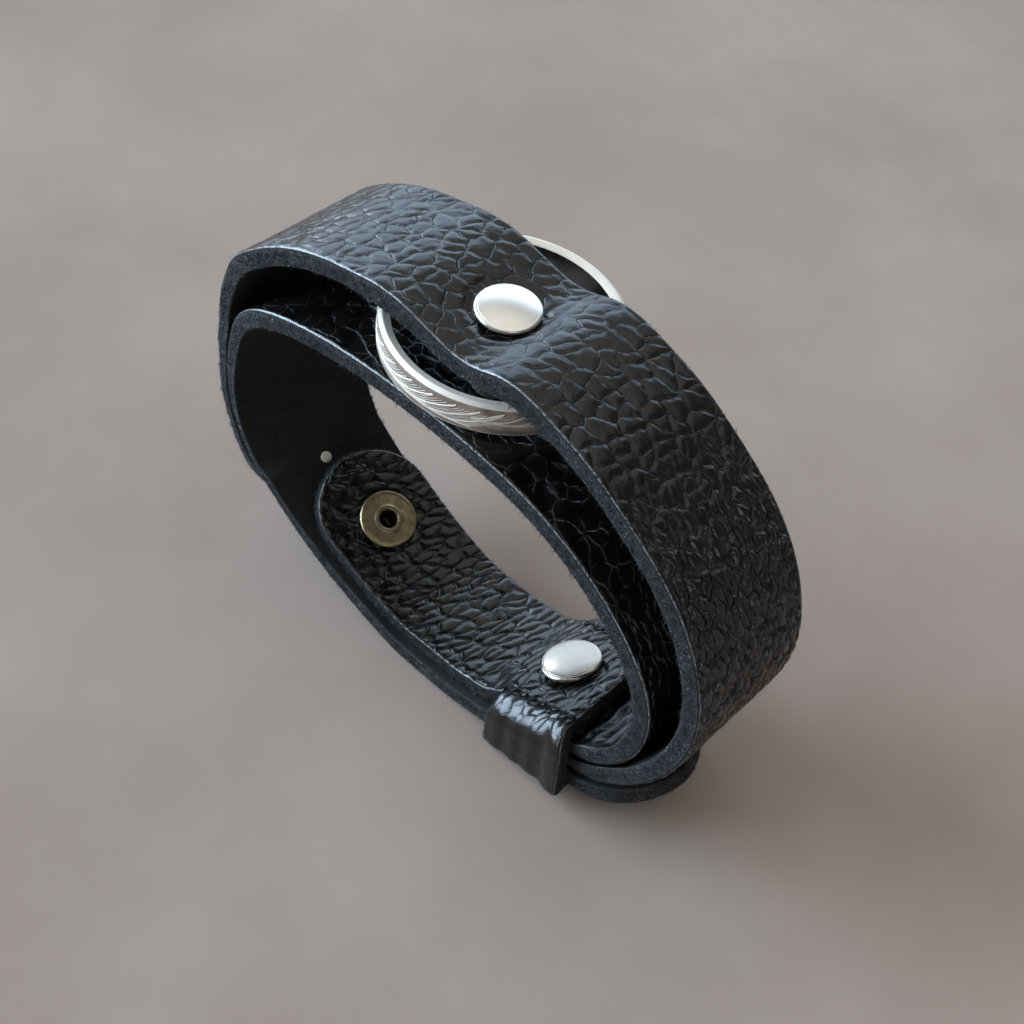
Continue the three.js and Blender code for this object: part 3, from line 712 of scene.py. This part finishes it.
def cut_edge_leather(name, light=1.0, rough=0.85):
    made, nodes, shader = material(name)
    where = nodes.put("ShaderNodeTexCoord").outputs["Object"]
    fleck = nodes.noise(where, 4200.0, 5.0, 0.8)
    cloud = nodes.noise(where, 900.0, 3.0, 0.6)
    patch = nodes.ease(nodes.noise(where, 150.0, 2.0), 0.4, 0.62)
    dull = nodes.blend(nodes.ease(cloud, 0.35, 0.7), (0.004 * light, 0.0045 * light, 0.0055 * light, 1),
                       (0.019 * light, 0.021 * light, 0.026 * light, 1))
    bright = nodes.sum("MULTIPLY", nodes.ease(fleck, 0.55, 0.68), nodes.sum("MULTIPLY_ADD", patch, 0.75, 0.2))
    colour = nodes.blend(bright, dull, (0.42 * light, 0.435 * light, 0.50 * light, 1))
    nodes.feed(shader["Base Color"], colour)
    nodes.feed(shader["Roughness"], nodes.ease(fleck, 0.3, 0.7, rough, rough - 0.25))
    nodes.feed(shader["Normal"], bump(nodes, fleck, 1.0, 0.22 * MM))
    return made


def flesh_leather():
    made, nodes, shader = material("flesh_side")
    where = nodes.put("ShaderNodeTexCoord").outputs["Object"]
    nap = nodes.noise(where, 1900.0, 5.0, 0.7)
    cloud = nodes.noise(where, 260.0, 3.0, 0.6)
    colour = nodes.blend(nodes.ease(cloud, 0.3, 0.7), (0.002, 0.002, 0.0022, 1), (0.005, 0.0048, 0.005, 1))
    nodes.feed(shader["Base Color"], nodes.blend(nodes.ease(nap, 0.6, 0.8), colour,
                                                 (0.012, 0.012, 0.013, 1)))
    place = attribute(nodes, "leather_place")["Vector"]
    along = nodes.put("ShaderNodeSeparateXYZ", {"Vector": place}).outputs[0]
    folded = nodes.sum("MULTIPLY", nodes.ease(along, 7.0, 10.0), nodes.ease(along, 18.0, 22.0, 1.0, 0.0))
    rough = nodes.sum("MULTIPLY_ADD", folded, -0.6, nodes.ease(nap, 0.3, 0.7, 0.9, 0.7))
    nodes.feed(shader["Roughness"], rough)
    nodes.feed(shader["Normal"], bump(nodes, nap, 0.7, 0.1 * MM))
    shader["Specular IOR Level"].default_value = 0.4
    return made


def steel(name, bright, dark, roughness, scratch, metallic=1.0):
    made, nodes, shader = material(name)
    where = nodes.put("ShaderNodeTexCoord").outputs["Object"]
    cloud = nodes.noise(where, 320.0, 3.0, 0.6)
    lines = nodes.noise(nodes.vector("MULTIPLY", where, (900.0, 6000.0, 900.0)), 1.0, 3.0, 0.7)
    nodes.feed(shader["Base Color"], nodes.blend(nodes.ease(cloud, 0.3, 0.7), bright, dark))
    shader["Metallic"].default_value = metallic
    worn = nodes.ease(lines, 0.4, 0.75, roughness, roughness + scratch)
    nodes.feed(shader["Roughness"], worn)
    nodes.feed(shader["Normal"], bump(nodes, lines, scratch, 0.01 * MM))
    return made


def aged_brass():
    made, nodes, shader = material("aged_brass")
    where = nodes.put("ShaderNodeTexCoord").outputs["Object"]
    cloud = nodes.noise(where, 900.0, 4.0, 0.65)
    fleck = nodes.noise(where, 4200.0, 3.0, 0.7)
    worn = nodes.blend(nodes.ease(cloud, 0.35, 0.65), (0.34, 0.28, 0.17, 1), (0.20, 0.165, 0.105, 1))
    nodes.feed(shader["Base Color"], nodes.blend(nodes.ease(fleck, 0.6, 0.8), worn,
                                                 (0.07, 0.055, 0.035, 1)))
    shader["Metallic"].default_value = 1.0
    nodes.feed(shader["Roughness"], nodes.ease(cloud, 0.3, 0.7, 0.3, 0.5))
    nodes.feed(shader["Normal"], bump(nodes, fleck, 0.25, 0.04 * MM))
    return made


def pale_floor():
    made, nodes, shader = material("pale_floor")
    where = nodes.put("ShaderNodeTexCoord").outputs["Object"]
    cloud = nodes.noise(where, 18.0, 4.0, 0.6)
    nodes.feed(shader["Base Color"], nodes.blend(nodes.ease(cloud, 0.3, 0.7), (0.265, 0.203, 0.168, 1),
                                                 (0.318, 0.25, 0.21, 1)))
    shader["Roughness"].default_value = 0.8
    shader["Specular IOR Level"].default_value = 0.2
    return made


GRAIN = grain_leather()
EDGE = cut_edge_leather("raw_cut_edge")
BURNISHED_EDGE = cut_edge_leather("burnished_cut_edge", 0.45, 0.5)
FIBRE = cut_edge_leather("edge_fibre", 1.6)
FLESH = flesh_leather()
POLISHED_STEEL = steel("polished_steel", (0.86, 0.84, 0.79, 1), (0.80, 0.77, 0.72, 1), 0.2, 0.02, 0.85)
# The closure cap's steel is painted darker than the top cap's: painted shade on a cap of the same metal.
SHADED_CLOSURE_STEEL = steel("worn_steel", (0.40, 0.36, 0.31, 1), (0.35, 0.31, 0.26, 1), 0.2, 0.1)
RING_STEEL = steel("ring_steel", (0.83, 0.765, 0.68, 1), (0.76, 0.70, 0.62, 1), 0.6, 0.1, 0.5)
DARK_STEEL = steel("darkened_steel", (0.50, 0.42, 0.355, 1), (0.24, 0.20, 0.17, 1), 0.5, 0.25, 0.8)
SHADE_STEEL = steel("fine_line_steel", (0.68, 0.60, 0.52, 1), (0.56, 0.49, 0.43, 1), 0.6, 0.05, 0.2)
# The ring's inside is painted dark: painted shade within the ring.
RING_INSIDE_SHADE_STEEL = steel("ring_inside_steel", (0.16, 0.17, 0.19, 1), (0.10, 0.11, 0.12, 1), 0.25, 0.05)
LINE_STEEL = steel("engraved_line_steel", (0.82, 0.73, 0.63, 1), (0.75, 0.67, 0.58, 1), 0.65, 0.05, 0.1)
BRASS = aged_brass()

LEATHER_FINISH = leather_finish_tree()
EDGE_FIBRES = edge_fibres_tree()


def finish_leather(piece, node, seed, edge=EDGE, **values):
    settle(piece, LEATHER_FINISH, grain_leather=GRAIN, cut_edge=edge, flesh_side=FLESH, seed=seed, **values)
    fibres = bpy.data.objects.new(node + "_edge_fibres", piece.data.copy())
    bpy.context.scene.collection.objects.link(fibres)
    settle(fibres, EDGE_FIBRES, seed=seed, fibre_leather=FIBRE)
    for made in (piece, fibres):
        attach(made, "root")
    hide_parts(node)


# ---- The two bands ----

def lay_band(band, pattern, presses, folds=None):
    """Places a band's pattern along its path, and returns its grain and flesh faces."""
    middle, _, across, inward = band.frame(pattern.along)
    half = read_table(PARED_END, 1, pattern.along)[:, None] / 2
    line = middle + across * pattern.across[:, None]
    sunk = sum(dish(*press, pattern.along, pattern.across, CAP_RADIUS, CAP_SEAT + 0.05)
               for press in presses)
    swell = sum(pucker(pattern.along - place) for place, _ in presses)
    top = line - inward * (half - np.reshape(sunk, (-1, 1)) + np.reshape(swell, (-1, 1)))
    bottom = line + inward * half
    if folds is not None:
        bottom -= inward * folds(pattern.along, pattern.across)[:, None]
    return top, bottom


def wrinkled_until(end, stretch):
    """Wrinkled grain from a band's pared end on, which gives way to pebbles over a stretch."""
    return lambda along: 1 - smooth((along - end) / stretch)


def pucker(from_post):
    """The low swell of the grain face either side of the place where a post pulls it down."""
    distance = np.abs(from_post)
    return 0.42 * smooth((distance - 2.2) / 5.2) * smooth((14.5 - distance) / 6)


def bend_folds(along, across):
    """The wrinkles pressed into the flesh side where the band turns tightly."""
    share = smooth((along - 7) / 2) * smooth((21 - along) / 2) * smooth((7.6 - np.abs(across)) / 2)
    wander = 0.5 * np.sin(across * 0.7) + 0.3 * np.sin(across * 1.6 + along * 0.9)
    wave = np.sin(2 * np.pi * (along + wander) / 2.1)
    depth = (0.48 + 0.2 * np.sin(across * 0.9 + along * 1.3)) * (1 - 0.65 * smooth((across + 2) / 5))
    return depth * share * (0.5 - 0.5 * wave) ** 1.5


outer_pattern = band_pattern(outer_band.length)
outer_pattern.punch(POST_ON_OUTER, 0, POST_SHANK + GAP)
near_post = smooth((12 - np.abs(outer_pattern.along - POST_ON_OUTER + 4)) / 6)
past_post = smooth((outer_pattern.along - POST_ON_OUTER) / 6)
outer_pattern.relief = 1 - np.maximum(0.55 * near_post, 0.4 * past_post)
outer_top, outer_bottom = lay_band(outer_band, outer_pattern, ((POST_ON_OUTER, 0),))
outer_leather = leather_mesh("outer_strap_leather", outer_pattern, outer_top, outer_bottom,
                             wrinkled_until(47, 17))
finish_leather(outer_leather, "outer_strap", 3, pebble_size=1.95, crease_depth=0.175, slant=0.25)

inner_pattern = band_pattern(inner_band.length)
inner_pattern.punch(POST_ON_INNER, 0, POST_SHANK + GAP)
inner_pattern.relief = np.full_like(inner_pattern.along, INNER_RELIEF)
inner_top, inner_bottom = lay_band(inner_band, inner_pattern, (), bend_folds)
inner_leather = leather_mesh("inner_strap_leather", inner_pattern, inner_top, inner_bottom,
                             wrinkled_until(30, 15))
finish_leather(inner_leather, "inner_strap", 5, pebble_size=1.9, crease_depth=0.13, slant=-0.2)


# ---- The tab and its keeper ----

def keeper_reach():
    """The stretch of the tab that the keeper's wings grow from."""
    lows = inner_band.point(np.array((KEEPER_FROM, KEEPER_TO)))[0]
    along = np.linspace(KEEPER_FROM - 3, KEEPER_TO + 4, 400)
    middle, _, _, inward = tab_frame(along)
    x = (middle + inward * TAB_LEATHER / 2)[:, 0]
    return np.interp(lows, x, along)


def keeper_columns():
    """Columns of the keeper's half outline: which stretch of it each is on, and how far along that."""
    stretches = (
        (1, KEEPER_TOP_RADIUS * math.pi / 2), (2, 5.0), (3, KEEPER_BOTTOM_RADIUS * math.pi / 2),
        (4, KEEPER_HALF_WIDTH - KEEPER_BOTTOM_RADIUS),
    )
    columns = []
    for number, length in stretches:
        count = max(3, round(length / WEAVE_STEP))
        columns.append(number + np.arange(1 if number > 1 else 0, count + 1) / (count + 1e-6))
    return np.concatenate(columns)


def hang_wings(along, column, side):
    """Places of the keeper's leather: its grain face, the way in from it, and distance round it."""
    middle, _, _, inward = tab_frame(along)
    crown = middle + inward * TAB_LEATHER / 2
    reach = np.linspace(KEEPER_FROM - 12, KEEPER_TO + 10, 600)
    tail_x, tail_z, _ = inner_band.point(reach)
    floor = np.interp(crown[:, 0], tail_x, tail_z) - LEATHER / 2 - GAP - KEEPER_BOTTOM
    height = crown[:, 2] - floor
    which = np.clip(np.floor(column), 1, 4)
    share = column - which
    flat_top = KEEPER_HALF_WIDTH - KEEPER_TOP_RADIUS
    flat_bottom = KEEPER_HALF_WIDTH - KEEPER_BOTTOM_RADIUS
    wall = height - KEEPER_TOP_RADIUS - KEEPER_BOTTOM_RADIUS
    turn = share * math.pi / 2
    stages = [which == k for k in (1, 2, 3, 4)]
    y = np.select(stages, (
        flat_top + KEEPER_TOP_RADIUS * np.sin(turn), np.full_like(turn, KEEPER_HALF_WIDTH),
        flat_bottom + KEEPER_BOTTOM_RADIUS * np.cos(turn), flat_bottom * (1 - 0.98 * share)))
    down = np.select(stages, (
        KEEPER_TOP_RADIUS * (1 - np.cos(turn)), KEEPER_TOP_RADIUS + wall * share,
        KEEPER_TOP_RADIUS + wall + KEEPER_BOTTOM_RADIUS * np.sin(turn), height))
    angle = np.select(stages, (turn, np.full_like(turn, math.pi / 2), math.pi / 2 + turn,
                               np.full_like(turn, math.pi)))
    arcs = KEEPER_TOP_RADIUS * math.pi / 2, KEEPER_BOTTOM_RADIUS * math.pi / 2
    round_it = flat_top + np.select(stages, (
        KEEPER_TOP_RADIUS * turn, arcs[0] + wall * share, arcs[0] + wall + KEEPER_BOTTOM_RADIUS * turn,
        arcs[0] + wall + arcs[1] + flat_bottom * share))
    forward = smooth((along - keeper_reach()[1] + KEEPER_SWEEP_STRETCH) / KEEPER_SWEEP_STRETCH)
    sweep = KEEPER_SWEEP * forward * smooth((angle - 0.3) / 1.3)
    face = np.stack((crown[:, 0] + sweep, side * y, crown[:, 2] - down), -1)
    sideways = np.stack((0 * side, side, 0 * side), -1)
    outwards = np.sin(angle)[:, None] * sideways + np.cos(angle)[:, None] * inward
    return face, -outwards, round_it, angle


def keeper_bumps(along, angle, side):
    """Soft ribs down the keeper's sides, and the slight flare of its leading end."""
    ribs = 0.5 + 0.5 * np.cos(2 * np.pi * (along - KEEPER_FROM) / RIB_SPACING)
    flare = KEEPER_FLARE * smooth((along - keeper_reach()[1] + KEEPER_FLARE_STRETCH) / KEEPER_FLARE_STRETCH)
    return ((RIB_RISE * ribs + flare) * smooth(angle / 0.9) * smooth((math.pi - angle) / 1.2)
            * np.where(side < 0, 1, 0.7))


def make_tab():
    start, reach = TAB_RIDE[0][0], keeper_reach()
    tip = start + tip_places(TAB_TIP_RADIUS)
    body = np.concatenate((tip[:-1], even_places(tip[-1], reach[0])))
    along = np.concatenate((body, even_places(reach[0], reach[1])[1:]))
    half = grain_half_width(TAB_WIDTH / 2, TAB_TIP_RADIUS, along - start)
    share = np.linspace(-1, 1, len(even_places(-TAB_WIDTH / 2, TAB_WIDTH / 2)))
    wing = keeper_columns()
    column = np.concatenate((-wing[::-1], 0 * share, wing))
    centre = np.abs(column) < 0.5
    rows = len(along)
    across = np.zeros((rows, len(column)))
    across[:, centre] = half[:, None] * share
    kept = np.ones((rows - 1, len(column) - 1), bool)
    inner = centre[:-1] & centre[1:]
    kept[:len(body) - 1, ~inner] = False
    grid_along = np.repeat(along[:, None], len(column), 1)
    pattern = Pattern(grid_along, across, kept)
    columns = np.repeat(column[None, :], rows, 0).ravel()

    on_wing = np.abs(columns) > 0.5
    face, way_in, round_it, angle = hang_wings(pattern.along, np.where(on_wing, np.abs(columns), 1),
                                               np.sign(columns))
    pattern.across = np.where(on_wing, round_it * np.sign(columns), pattern.across)
    for place, radius in ((EYELET_ALONG, EYELET_TUBE + GAP / 2), (CLOSURE_ALONG, CLOSURE_SHANK + GAP)):
        pattern.punch(place, 0, radius)
    middle, _, across_tab, inward = tab_frame(pattern.along)
    sunk = dish(CLOSURE_ALONG, 0, pattern.along, pattern.across, CAP_RADIUS, 0.12)
    sunk += dish(EYELET_ALONG, 0, pattern.along, pattern.across, CAP_RADIUS, 0.15)
    top = middle + across_tab * pattern.across[:, None] + inward * (TAB_LEATHER / 2 - sunk)[:, None]
    bottom = middle + across_tab * pattern.across[:, None] - inward * TAB_LEATHER / 2
    ribs = keeper_bumps(pattern.along, angle, np.sign(columns))[:, None]
    wing_top = face + way_in * (RIB_RISE * smooth(angle / 0.9)[:, None] - ribs)
    thin = np.where(angle <= math.pi / 2,
                    TAB_LEATHER + (KEEPER_SIDE - TAB_LEATHER) * smooth(angle * 2 / math.pi),
                    KEEPER_SIDE + (KEEPER_BOTTOM - KEEPER_SIDE) * smooth(angle * 2 / math.pi - 1))
    wing_bottom = face + way_in * thin[:, None]
    top = np.where(on_wing[:, None], wing_top, top)
    bottom = np.where(on_wing[:, None], wing_bottom, bottom)
    pattern.edge_scuff_and_sheen = 0.35
    pattern.relief = np.where(on_wing, 1 - 0.3 * smooth(angle / 0.3) - 0.5 * smooth((angle - 0.3) / 0.6), 1.0)
    return leather_mesh("snap_tab_leather", pattern, top, bottom, lambda place: 0 * place)


tab_leather = make_tab()
finish_leather(tab_leather, "snap_tab", 8, edge=BURNISHED_EDGE, pebble_size=2.6, crease_depth=0.17,
               slant=-0.22, stretch=2.1, wander=1.0)


# ---- Turned metal ----

def rounded(profile, radius, steps=5):
    """Rounds the corners of an open profile of (radius, height) points."""
    points = [np.array(p, float) for p in profile]
    out = [points[0]]
    for before, corner, after in zip(points, points[1:], points[2:]):
        back, on = before - corner, after - corner
        cut_back = min(radius, 0.45 * np.linalg.norm(back)) / (np.linalg.norm(back) + 1e-9)
        cut_on = min(radius, 0.45 * np.linalg.norm(on)) / (np.linalg.norm(on) + 1e-9)
        for t in np.linspace(0, 1, steps):
            out.append((1 - t) ** 2 * (corner + back * cut_back) + 2 * t * (1 - t) * corner
                       + t**2 * (corner + on * cut_on))
    out.append(points[-1])
    return out


def stand_on(place, axis):
    """The frame that stands a turned piece's axis along a direction, in metres."""
    turn = Vector((0, 0, 1)).rotation_difference(Vector(axis)).to_matrix().to_4x4()
    return Matrix.Translation(Vector((place + SIDE_VIEW_ORIGIN) * MM)) @ turn @ Matrix.Scale(MM, 4)


def turned(name, profile, place, axis, finish, node, segments=96, zones=None):
    ring = np.arange(segments) * 2 * math.pi / segments
    shape = bmesh.new()
    loops = []
    for radius, height in profile:
        loops.append([shape.verts.new((radius * math.cos(a), radius * math.sin(a), height)) for a in ring])
    for k, (low, high) in enumerate(zip(loops, loops[1:])):
        middle = (np.array(profile[k]) + np.array(profile[k + 1])) / 2
        for i in range(segments):
            j = (i + 1) % segments
            face = shape.faces.new((low[i], low[j], high[j], high[i]))
            face.material_index = zones(*middle) if zones else 0
    bmesh.ops.remove_doubles(shape, verts=shape.verts, dist=1e-5)
    bmesh.ops.recalc_face_normals(shape, faces=shape.faces)
    shape.transform(stand_on(place, axis))
    mesh = bpy.data.meshes.new(name)
    shape.to_mesh(mesh)
    shape.free()
    mesh.shade_smooth()
    for one in finish if isinstance(finish, tuple) else (finish,):
        mesh.materials.append(one)
    piece = bpy.data.objects.new(name, mesh)
    bpy.context.scene.collection.objects.link(piece)
    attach(piece, "root")
    if node:
        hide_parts(node)
    return piece


def cap_profile(radius, base, height):
    """A rolled rim, a fine groove and a low dome."""
    rim = [(radius - 0.28, base), (radius - 0.04, base + 0.03), (radius, base + 0.2),
           (radius - 0.05, base + 0.36), (radius - 0.17, base + 0.47), (radius - 0.34, base + 0.53)]
    crown = radius - 0.42
    rise = height - 0.54
    dome = [(crown * t, base + 0.54 + rise * (1 - t**2)) for t in np.linspace(1, 0, 14)[:-1]]
    return rim + [(crown + 0.03, base + 0.51)] + dome + [(0, base + height)]


post_foot = inner_band.frame(POST_ON_INNER)[0][0]
post_head = outer_band.frame(POST_ON_OUTER)[0][0]
post_length = float(np.linalg.norm(post_head - post_foot))
post_axis = (post_head - post_foot) / post_length
over_inner = LEATHER / 2 + GAP
under_outer = post_length - LEATHER / 2 - GAP
cap_base = post_length + LEATHER / 2 - CAP_SEAT + CAP_GAP
turned("top_rivet_cap", rounded([
    (0, -over_inner - FLANGE), (TOP_CAP_RADIUS - 0.3, -over_inner - FLANGE), (TOP_CAP_RADIUS, -over_inner),
    (POST_SHANK, -over_inner), (POST_SHANK, over_inner), (POST_BARREL, over_inner),
    (POST_BARREL, under_outer), (POST_SHANK, under_outer), (POST_SHANK, cap_base),
    *cap_profile(TOP_CAP_RADIUS, cap_base, CAP_HEIGHT)], 0.12),
    post_foot, post_axis, POLISHED_STEEL, "top_rivet")

closure = [part[0] for part in tab_frame(CLOSURE_ALONG)]
closure_base = TAB_LEATHER / 2 + GAP + 0.1
turned("closure_rivet_cap", rounded([
    (0, -CLOSURE_DEPTH), (CLOSURE_SHANK, -CLOSURE_DEPTH), (CLOSURE_SHANK, closure_base),
    *cap_profile(CAP_RADIUS, closure_base, CAP_HEIGHT)], 0.12),
    closure[0], closure[3], SHADED_CLOSURE_STEEL, "closure_rivet")

riveted = [part[0] for part in inner_band.frame(END_RIVET_ALONG)]
inside = LEATHER / 2 + 0.1
outside = END_RIVET_DISTANCE + LEATHER / 2 + CAP_GAP
turned("end_rivet_dot", rounded([
    (0, -inside - 0.1), (0.3, -inside - 0.09), (0.55, -inside - 0.05), (0.68, -inside + 0.02),
    (0.7, -inside + 0.2), (END_RIVET_SHANK, outside),
    *cap_profile(END_CAP_RADIUS, outside, CAP_HEIGHT)], 0.12),
    riveted[0] + riveted[2] * END_RIVET_ACROSS, -riveted[3], RING_STEEL, "end_rivet")

snap = [part[0] for part in tab_frame(EYELET_ALONG)]
flange_top = TAB_LEATHER / 2 + GAP
turned("brass_eyelet", rounded([
    (0, -EYELET_REACH), (EYELET_TUBE, -EYELET_REACH), (EYELET_TUBE, flange_top),
    (EYELET_FLANGE - 0.25, flange_top), (EYELET_FLANGE, flange_top + 0.25), (3.3, flange_top + 0.5),
    (3.0, flange_top + 0.42), (1.75, flange_top + 0.42), (1.55, flange_top + 0.55),
    (1.2, flange_top + 0.5), (EYELET_BORE, flange_top + 0.2), (EYELET_BORE, -2.0), (0, -2.0)], 0.1),
    snap[0], snap[3], BRASS, "tab_eyelet")

under_snap = [part[0] for part in inner_band.frame(EYELET_ALONG)]
snap_lift = float(read_table(TAB_RIDE, 1, np.array(EYELET_ALONG)))
cup = EYELET_TUBE + GAP
back = LEATHER / 2 + 0.2
turned("snap_back_cap", rounded([
    (0, -back - 0.8), (3.5, -back - 0.7), (SNAP_CAP, -back - 0.15), (SNAP_CAP - 0.1, -back),
    (cup + SNAP_WALL, -back), (cup + SNAP_WALL, SNAP_RISE), (cup, SNAP_RISE), (cup, 0), (0, 0)], 0.12),
    snap[0] - snap[3] * snap_lift, under_snap[3], BRASS, "snap_socket")

# ---- The ring ----

ring_axis = np.array((math.sin(math.radians(RING_LEAN)), 0, math.cos(math.radians(RING_LEAN))))
ring_place = np.array(RING_PLACE)
ring_inner = RING_RADIUS - RING_WALL
ring_profile = rounded([
    (ring_inner + 0.6, 0), (RING_RADIUS - 0.25, 0), (RING_RADIUS, 0.25),
    (RING_RADIUS, RING_HEIGHT - RING_BEVEL_DROP), (RING_RADIUS - RING_BEVEL_WIDTH, RING_HEIGHT),
    (ring_inner, RING_HEIGHT - 0.25), (ring_inner, 0.25), (ring_inner + 0.25, 0), (ring_inner + 0.6, 0)],
    0.1)


def ring_zone(radius, height):
    """0 on the bright rims, 1 on the engraved wall, 2 inside, where a dark steel is painted shade within the
    ring.
    """
    if radius < ring_inner + 0.05 and height < RING_HEIGHT - 0.3:
        return 2
    if 0.35 < height < RING_HEIGHT - RING_BEVEL_DROP - 0.06:
        return 1
    return 0


turned("ring_band", ring_profile, ring_place, ring_axis, (RING_STEEL, DARK_STEEL, RING_INSIDE_SHADE_STEEL), "ring",
       256, ring_zone)


def engrave_ring():
    mesh = bpy.data.meshes.new("ring_engraving")
    lines = bpy.data.objects.new("ring_engraving", mesh)
    bpy.context.scene.collection.objects.link(lines)
    settle(lines, ring_engraving_tree(), radius=RING_RADIUS, bold_lines=LINE_STEEL, fine_lines=SHADE_STEEL)
    lines.data.transform(stand_on(ring_place, ring_axis))
    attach(lines, "root")


engrave_ring()

# ---- Stage, light and camera ----

def make_floor():
    mesh = bpy.data.meshes.new("floor")
    mesh.from_pydata([(-3, -3, 0), (3, -3, 0), (3, 3, 0), (-3, 3, 0)], [], [(0, 1, 2, 3)])
    mesh.materials.append(pale_floor())
    floor = bpy.data.objects.new("floor", mesh)
    bpy.context.scene.collection.objects.link(floor)


def soft_light(name, place, target, size, power, colour):
    lamp = bpy.data.lights.new(name, "AREA")
    lamp.shape = "DISK"
    lamp.size = size
    lamp.energy = power
    lamp.color = colour
    lamp_object = bpy.data.objects.new(name, lamp)
    bpy.context.scene.collection.objects.link(lamp_object)
    lamp_object.location = place
    lamp_object.rotation_euler = (Vector(target) - Vector(place)).to_track_quat("-Z", "Y").to_euler()


def make_camera():
    right = Vector((0.7212, 0.6890, 0.0715))
    up = Vector((-0.5499, 0.5068, 0.6639))
    back_way = Vector((0.4212, -0.5182, 0.7444))
    turn = Matrix((right, up, back_way)).transposed().to_4x4()
    lens = bpy.data.cameras.new("camera")
    lens.sensor_width = 36
    lens.lens = 54.49
    lens.clip_start = 0.01
    camera = bpy.data.objects.new("camera", lens)
    bpy.context.scene.collection.objects.link(camera)
    camera.matrix_world = Matrix.Translation(Vector((0.073361, -0.088124, 0.147990))) @ turn
    bpy.context.scene.camera = camera


def light_room():
    """A low pale sky and a brighter window on the left, a grey ceiling, and a dim warm room behind."""
    world = bpy.data.worlds.new("studio")
    bpy.context.scene.world = world
    world.use_nodes = True
    nodes = Nodes(world.node_tree)
    way = nodes.put("ShaderNodeTexCoord").outputs["Generated"]
    height = nodes.put("ShaderNodeSeparateXYZ", {"Vector": way}).outputs[2]

    def towards(direction):
        node = nodes.put("ShaderNodeVectorMath", {0: way, 1: direction}, operation="DOT_PRODUCT")
        return node.outputs["Value"]

    ceiling = nodes.ease(height, 0.55, 0.97)
    light = nodes.blend(ceiling, (0.16, 0.155, 0.14, 1), (0.90, 0.86, 0.77, 1))
    low = nodes.ease(height, 0.52, 0.74, 1.0, 0.0)
    sky = nodes.sum("MULTIPLY", low, nodes.ease(towards((-0.94, 0.34, 0.0)), 0.1, 0.55))
    light = nodes.blend(sky, light, (1.65, 2.1, 2.65, 1))
    doorway = nodes.ease(towards((0.90, -0.42, 0.12)), 0.94, 0.98)
    light = nodes.blend(doorway, light, (1.7, 1.8, 2.0, 1))
    window = nodes.ease(towards((-0.86, -0.48, 0.16)), 0.74, 0.93)
    light = nodes.blend(window, light, (8.0, 10.4, 12.8, 1))
    nodes.feed(world.node_tree.nodes["Background"].inputs["Color"], light)


make_floor()
make_camera()
light_room()
bpy.context.scene.view_settings.view_transform = "Standard"
soft_light("window", (-0.84, 0.22, 0.34), (0, 0, 0.03), 0.18, 0.6, (0.9, 0.95, 1.0))
